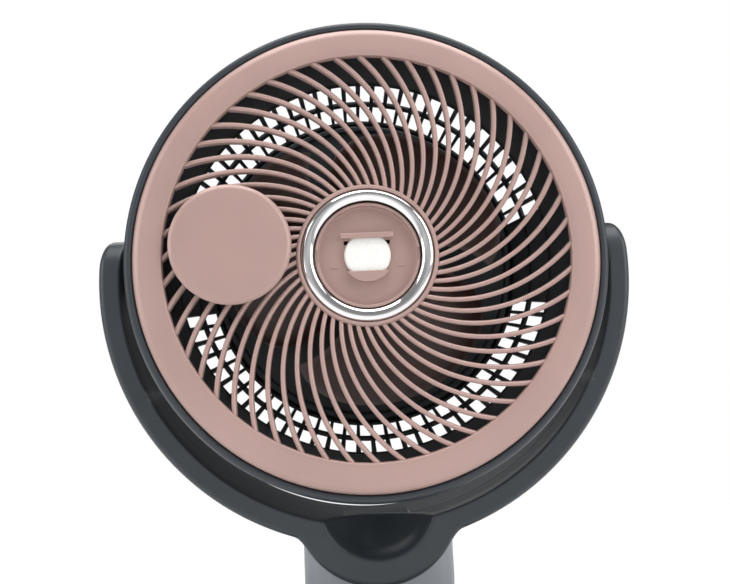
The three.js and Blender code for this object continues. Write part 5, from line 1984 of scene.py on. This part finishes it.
class Base(Assembly):
    """The round base: cover, panel, buttons, display, feet and power inlet."""

    body = "stand"
    sizes = BaseSizes()

    def sector(self, grow: float) -> list[Flat]:
        """Makes the outline of the control panel.

        Args:
            grow: How much it is grown all round.

        Returns:
            The outline's points.
        """
        s = self.sizes
        half = math.radians(s.panel_half_deg) + grow / s.panel_outer
        steps = 40
        middle = -math.pi / 2
        arcs = ((s.panel_outer + grow, 1), (s.panel_inner - grow, -1))
        outline = []
        for radius, way in arcs:
            for k in range(steps + 1):
                angle = middle + way * half * (2 * k / steps - 1)
                outline.append((radius * math.cos(angle), radius * math.sin(angle)))
        return outline

    def places(self) -> list[Flat]:
        """Lists where the buttons are.

        Returns:
            Their middles, from left to right.
        """
        s = self.sizes
        count = len(s.buttons)
        turns = [math.radians(s.button_step_deg) * (k - (count - 1) / 2) for k in range(count)]
        return [(s.button_circle * math.sin(t), -s.button_circle * math.cos(t)) for t in turns]

    def button_holes(self, low: float) -> list[bpy.types.Object]:
        """Makes the rods that cut the holes of the buttons.

        Args:
            low: Where the holes end below.

        Returns:
            The rods.
        """
        s = self.sizes
        radius, high = s.button + s.gap, s.height + 1
        corners = [(0, low), (radius, low), (radius, high), (0, high)]
        rods = [Part("rod").turned(corners, 48, spot, Axis.UPRIGHT) for spot in self.places()]
        return [rod.object(STILL) for rod in rods]

    def build(self) -> None:
        """Makes the base from its cover to its feet."""
        s = self.sizes
        cover = Part("base_shell").turned(
            [
                (s.bearing, s.height - s.wall),
                (s.radius - s.shoulder - 2, s.height - s.wall, 4),
                (s.radius - s.wall - 5, s.height - 7, 4),
                (s.radius - s.wall, s.height - s.shoulder, 4),
                (s.radius - s.wall, s.foot),
                (s.radius - 0.6, s.foot, 0.5),
                (s.radius, s.foot + 1.2, 1.0),
                (s.radius, s.height - s.shoulder, 7),
                (s.radius - 3.6, s.height - 4.6, 6),
                (s.radius - s.shoulder, s.height, 9),
                (s.bearing, s.height, 0.4),
            ],
            224,
            axis=Axis.UPRIGHT,
            steps=8,
        )
        bed = s.height - s.panel_thick - s.gap
        pocket = Part("pocket").slab(self.sector(s.gap), bed, s.height + 1, at_floor)
        cutters = [pocket.object(STILL), *self.button_holes(s.height - 6)]
        near, far, round_inlet = s.radius - 20, s.radius + 1, s.inlet + s.gap
        hole = [(0, near), (round_inlet, near), (round_inlet, far), (0, far)]
        cutters.append(Part("inlet").turned(hole, 48, (0, s.inlet_height)).object(STILL))
        self.fit(carved(cover.object(STILL), cutters), Finish.CHARCOAL, "base_cover")
        self.panel()
        self.feet()
        self.socket()

    def panel(self) -> None:
        """Makes the gloss panel, its display and the buttons."""
        s = self.sizes
        low = s.height - s.panel_thick
        plate = Part("panel_plate").slab(self.sector(0.0), low, s.height, at_floor, 0.25)
        across, deep = (size / 2 for size in s.lens)
        near, far = -s.lens_circle - deep, -s.lens_circle + deep
        window = Part("lens").block(
            (-across - s.gap, near - s.gap, low - 1), (across + s.gap, far + s.gap, s.height + 1), 0.2
        )
        cutters = [window.object(STILL), *self.button_holes(low - 1)]
        self.fit(carved(plate.object(STILL), cutters), Finish.PANEL, "control_panel")
        lens = Part("display_window").block((-across, near, low), (across, far, s.height))
        self.fit(lens.object(STILL), Finish.PANEL, "display_lens")
        top = s.height + s.button_rise
        stop_top = s.button_stop + s.button_stop_thick
        for name, spot in zip(s.buttons, self.places()):
            key = Part(f"key_{name}").turned(
                [
                    (0, s.button_foot),
                    (s.button / 2, s.button_foot),
                    (s.button / 2, s.button_stop),
                    (s.button + 1.6, s.button_stop),
                    (s.button + 1.6, stop_top),
                    (s.button, stop_top),
                    (s.button, top, 0.7),
                    (s.button * 0.55, top - 0.18, 1.0),
                    (0, top - 0.3),
                ],
                64,
                spot,
                Axis.UPRIGHT,
            )
            self.fit(key.object(STILL), Finish.CHARCOAL, f"button_{name}", body=f"key_{name}")

    def feet(self) -> None:
        """Makes the four rubber feet."""
        s = self.sizes
        profile = [
            (0, 0),
            (s.foot_radius - 2.4, 0, 0.8),
            (s.foot_radius - 0.4, 1.2, 1.0),
            (s.foot_radius, s.foot_high, 0.2),
            (0, s.foot_high),
        ]
        for k in range(4):
            angle = math.tau * (k + 0.5) / 4
            spot = (s.foot_circle * math.cos(angle), s.foot_circle * math.sin(angle))
            pad = Part(f"rubber_foot_{k + 1}").turned(profile, 64, spot, Axis.UPRIGHT)
            self.fit(pad.object(STILL), Finish.RUBBER, f"foot_{k + 1}")

    def socket(self) -> None:
        """Makes the power inlet's barrel."""
        s = self.sizes
        face = s.radius - s.inlet_sunk
        barrel = Part("inlet_barrel").turned(
            [
                (0, face - s.inlet_long),
                (s.inlet, face - s.inlet_long),
                (s.inlet, face, 0.4),
                (s.inlet_bore, face, 0.5),
                (s.inlet_bore, face - s.inlet_deep),
                (0, face - s.inlet_deep),
            ],
            64,
            (0, s.inlet_height),
        )
        self.fit(barrel.object(STILL), Finish.GRAPHITE, "dc_inlet")


@dataclass(frozen=True)
class PivotSizes:
    """Sizes of the tilt pivots' brackets, measured from the tilt axis, in millimetres."""

    start: float = 128.0
    end: float = 171.0
    front: float = -5.2
    back: float = 26.0
    half: float = 30.0
    corner: float = 5.0
    boss: float = 20.0
    boss_end: float = 183.2
    bore: float = 6.3
    gap: float = 0.3


class Pivots(Assembly):
    """The two brackets that carry the head on its tilt pins."""

    sizes = PivotSizes()

    def casings(self) -> bpy.types.Object:
        """Makes what the casings fill, with a gap all round, to cut a bracket with.

        Returns:
            The cutter.
        """
        c, gap = CasingSizes(), self.sizes.gap
        middle = (c.ledge + c.back) / 2
        flange = c.drum_front + c.wall + gap
        return (
            Part("casings")
            .turned(
                [
                    (0, c.ledge),
                    (c.rim + gap, c.ledge),
                    (c.rim + gap, c.ledge + 4),
                    (c.rim - 2 + gap, middle + gap),
                    (c.back_radius + gap, c.back),
                    (c.back_radius + gap, flange),
                    (c.drum_wide + c.wall + gap, flange),
                    (c.drum_narrow + c.wall + gap, c.drum_back),
                    (0, c.drum_back),
                ],
                192,
            )
            .object()
        )

    def build(self) -> None:
        """Makes a block and a boss on each side."""
        s = self.sizes
        for name, side in (("left", -1), ("right", 1)):
            low, high = sorted((side * s.start, side * s.end))
            block = Part(f"pivot_block_{name}")
            block.block((low, s.front, -s.half), (high, s.back, s.half), s.corner)
            made = carved(block.object(), [self.casings()])
            self.fit(made, Finish.GRAPHITE, f"pivot_bracket_{name}")
            outwards = HEAD @ Matrix.Rotation(-side * math.pi / 2, 4, "Z")
            boss = Part(f"pivot_boss_{name}").turned(
                [
                    (s.bore, s.end - 4),
                    (s.boss + 1.2, s.end - 4),
                    (s.boss + 1.2, s.end + 0.4, 0.6),
                    (s.boss, s.end + 1.6, 1.0),
                    (s.boss, s.boss_end, 1.2),
                    (s.bore, s.boss_end, 0.4),
                ],
                96,
            )
            self.fit(boss.object(outwards), Finish.GRAPHITE)


@dataclass(frozen=True)
class ScrewSet:
    """Four equal screws on a circle, in millimetres, and where they go."""

    name: str
    nodes: str
    body: str
    moved: Matrix
    circle: float
    height: float
    base: float
    first_deg: float
    radius: float = 3.4
    count: int = 4


class Hardware(Assembly):
    """Nodes of the frame whose shape is right, and the repeated screws."""

    SLOTS = {finish.value: finish for finish in Finish}
    SCREWS = (
        ScrewSet("cover_screws", "dome_screw", "head", HEAD @ BACKWARDS, 38.55, 1.2, 77.4, 45.0),
        ScrewSet("base_screws", "base_screw", "stand", UNDERNEATH, 113.4, 2.0, -4.7, -22.5),
    )
    CROSS_LONG = 1.15
    CROSS_NARROW = 0.26
    CROSS_RAISED = 0.45

    def build(self) -> None:
        """Makes the screws, then dresses what still shows."""
        tree = self.screw_tree()
        steel = self.finishes.get(Finish.ZINC)
        for screws in self.SCREWS:
            sizes = {
                "Circle": screws.circle,
                "Radius": screws.radius,
                "Height": screws.height,
                "First": math.radians(screws.first_deg),
                "Base": screws.base,
                "Count": screws.count,
                "Finish": steel,
            }
            made = tree.grow(screws.name, sizes, screws.moved)
            nodes = (f"{screws.nodes}_{k + 1}" for k in range(screws.count))
            self.fit(made, Finish.ZINC, *nodes, body=screws.body)
        self.dress()

    def screw_tree(self) -> Repeat:
        """Makes the tree of cross-head screws on a circle.

        Returns:
            The tree.
        """
        tree = Repeat("cross_screws", ["Circle", "Radius", "Height", "First", "Base"], ["Count"])
        radius, height = tree.given("Radius"), tree.given("Height")
        sizes = {"Vertices": 40, "Radius": radius, "Depth": height}
        rod = tree.node("GeometryNodeMeshCylinder", {}, sizes)
        long, narrow = radius * self.CROSS_LONG, radius * self.CROSS_NARROW
        arm = tree.node("GeometryNodeMeshCube", {}, {"Size": tree.point(long, narrow, height)})
        over = tree.node("GeometryNodeMeshCube", {}, {"Size": tree.point(narrow, long, height)})
        raised = tree.point(0.0, 0.0, height * self.CROSS_RAISED)
        cut = tree.node("GeometryNodeMeshBoolean", {"operation": "DIFFERENCE"})
        tree.tree.links.new(rod.outputs["Mesh"], cut.inputs["Mesh 1"])
        for bar in (arm, over):
            inputs = {"Geometry": bar.outputs["Mesh"], "Translation": raised}
            lifted = tree.node("GeometryNodeTransform", {}, inputs)
            tree.tree.links.new(lifted.outputs[0], cut.inputs["Mesh 2"])
        spot = tree.point(tree.given("Circle"), 0.0, tree.given("Base") + height * 0.5)
        inputs = {"Geometry": cut.outputs["Mesh"], "Translation": spot}
        moved = tree.node("GeometryNodeTransform", {}, inputs)
        turn = tree.given("First") + tree.index() * math.tau / tree.given("Count")
        tree.close([tree.round_axis(moved.outputs[0], tree.given("Count"), turn)])
        return tree

    def dress(self) -> None:
        """Gives each node that still shows the material of its slot."""
        slots = {entry["node"]: entry["material_slot"] for entry in frame["record"]["subparts"]}
        for name, node in frame["nodes"].items():
            if node.hide_render:
                continue
            node.data.materials.clear()
            node.data.materials.append(self.finishes.get(self.SLOTS[slots[name]]))
            log.info("%s keeps its own shape", name)


# ---------------------------------------------------------------------------------------------
# Studio
# ---------------------------------------------------------------------------------------------


@dataclass
class Shot:
    """The photograph's camera, worked out from its perspective."""

    place: Spot = (-19.1, -559.3, 277.4)
    right: Spot = (0.9986, -0.0297, -0.0449)
    up: Spot = (0.040, -0.1427, 0.989)
    focal_px: float = 700.0
    clip: Flat = (0.02, 20.0)
    width_px: float = 730.0
    centre_px: Flat = (366.0, 245.0)
    frame_centre_px: Flat = (365.0, 292.0)
    sensor_mm: float = 36.0

    def build(self) -> None:
        """Makes the camera and hands it to the scene."""
        data = bpy.data.cameras.new("camera")
        data.sensor_width = self.sensor_mm
        data.lens = self.focal_px / self.width_px * self.sensor_mm
        data.shift_x = (self.frame_centre_px[0] - self.centre_px[0]) / self.width_px
        data.shift_y = (self.centre_px[1] - self.frame_centre_px[1]) / self.width_px
        data.clip_start, data.clip_end = self.clip
        camera = bpy.data.objects.new("camera", data)
        bpy.context.scene.collection.objects.link(camera)
        right = Vector(self.right).normalized()
        back = right.cross(Vector(self.up)).normalized()
        up = back.cross(right)
        turned = Matrix((right, up, back)).transposed().to_4x4()
        camera.matrix_world = Matrix.Translation(Vector(self.place) * MM) @ turned
        bpy.context.scene.camera = camera


@dataclass
class Lamp:
    """A soft lamp."""

    name: str
    place: Spot
    size: Flat
    watts: float
    colour: Colour = (1.0, 1.0, 1.0)

    def build(self, target: Vector) -> None:
        """Hangs the lamp and points it.

        Args:
            target: Where it points.
        """
        data = bpy.data.lights.new(self.name, "AREA")
        data.shape = "RECTANGLE"
        data.size, data.size_y = self.size
        data.energy = self.watts
        data.color = self.colour
        lamp = bpy.data.objects.new(self.name, data)
        bpy.context.scene.collection.objects.link(lamp)
        lamp.location = self.place
        lamp.rotation_mode = "QUATERNION"
        lamp.rotation_quaternion = (target - Vector(self.place)).to_track_quat("-Z", "Y")


class Studio:
    """Camera, lamps, world and floor."""

    LAMPS = (
        Lamp("top", (0.1, -0.35, 1.7), (1.6, 1.2), 26.0),
        Lamp("right", (1.5, -1.0, 0.9), (0.9, 1.3), 14.0),
        Lamp("left", (-1.5, -0.9, 0.8), (0.9, 1.3), 9.0),
        Lamp("back", (-0.5, 1.4, 1.5), (1.2, 1.0), 9.0),
    )
    TARGET = Vector((0, 0, 0.3))
    ROOM_LIGHT = 0.5
    ROOM_BELOW = 0.9
    FLOOR_REACH = 30.0
    FLOOR_GREY = (0.9, 0.9, 0.9, 1)
    WHITE = (1, 1, 1, 1)

    def build(self) -> None:
        """Sets up everything that isn't the fan."""
        Shot().build()
        for lamp in self.LAMPS:
            lamp.build(self.TARGET)
        self.world()
        self.floor()
        bpy.context.scene.view_settings.view_transform = "Standard"

    def world(self) -> None:
        """A plain pale room: white where it is seen, softer where it lights."""
        world = bpy.data.worlds.new("room")
        world.use_nodes = True
        bpy.context.scene.world = world
        graph = Graph(world.node_tree)
        world.node_tree.nodes.clear()
        rays = graph.node("ShaderNodeLightPath")
        seen = Value(graph, rays.outputs["Is Camera Ray"])
        mirrored = Value(graph, rays.outputs["Is Glossy Ray"])
        through = Value(graph, rays.outputs["Is Transmission Ray"])
        direct = graph.value("ShaderNodeMath", {"operation": "MAXIMUM"}, {0: seen, 1: through})
        way = graph.node("ShaderNodeTexCoord").outputs["Generated"]
        height = graph.value("ShaderNodeSeparateXYZ", {}, {0: way}, "Z")
        behind = graph.value("ShaderNodeSeparateXYZ", {}, {0: way}, "Y").ease(0.0, 0.7)
        room = (self.ROOM_BELOW - height.ease(-0.25, 0.45) * 0.62) * (1 - behind * 0.8)
        light = self.ROOM_LIGHT + (room - self.ROOM_LIGHT) * mirrored
        strength = light + (1 - light) * direct
        shader = graph.node("ShaderNodeBackground", {}, {"Color": self.WHITE, "Strength": strength})
        graph.node("ShaderNodeOutputWorld", {}, {0: shader.outputs[0]})

    def floor(self) -> None:
        """A plain pale floor that keeps the fan's shadow."""
        data = bpy.data.meshes.new("floor")
        reach = self.FLOOR_REACH
        corners = [(-reach, -reach, 0), (reach, -reach, 0), (reach, reach, 0), (-reach, reach, 0)]
        data.from_pydata(corners, [], [(0, 1, 2, 3)])
        made = bpy.data.objects.new("floor", data)
        bpy.context.scene.collection.objects.link(made)
        surface = Surface("pale_floor")
        rays = surface.node("ShaderNodeLightPath")
        seen = Value(surface, rays.outputs["Is Camera Ray"])
        grain = surface.noise(4.0)
        shade = surface.node("ShaderNodeBsdfDiffuse", {}, {"Color": self.FLOOR_GREY, "Roughness": 1.0})
        glow = surface.node("ShaderNodeEmission", {}, {"Color": self.WHITE, "Strength": 1.0})
        away = surface.value("ShaderNodeVectorMath", {"operation": "LENGTH"}, {0: surface.place}, "Value")
        amount = seen * (0.55 + away.ease(0.2, 0.9) * 0.45 + (grain - 0.5) * 0.002)
        mixed = surface.node("ShaderNodeMixShader", {}, {0: amount, 1: shade.outputs[0], 2: glow.outputs[0]})
        surface.node("ShaderNodeOutputMaterial", {}, {0: mixed.outputs[0]})
        data.materials.append(surface.material)


def main() -> None:
    """Builds the fan and its studio."""
    logging.basicConfig(level=logging.INFO, format="%(message)s")
    Studio().build()
    finishes = Finishes()
    for assembly in (Grille, ScentCup, Casings, Wheel, Pivots, Yoke, Base, Hardware):
        log.info("%s", assembly.__name__)
        assembly(finishes).build()


if __name__ == "__main__":
    main()
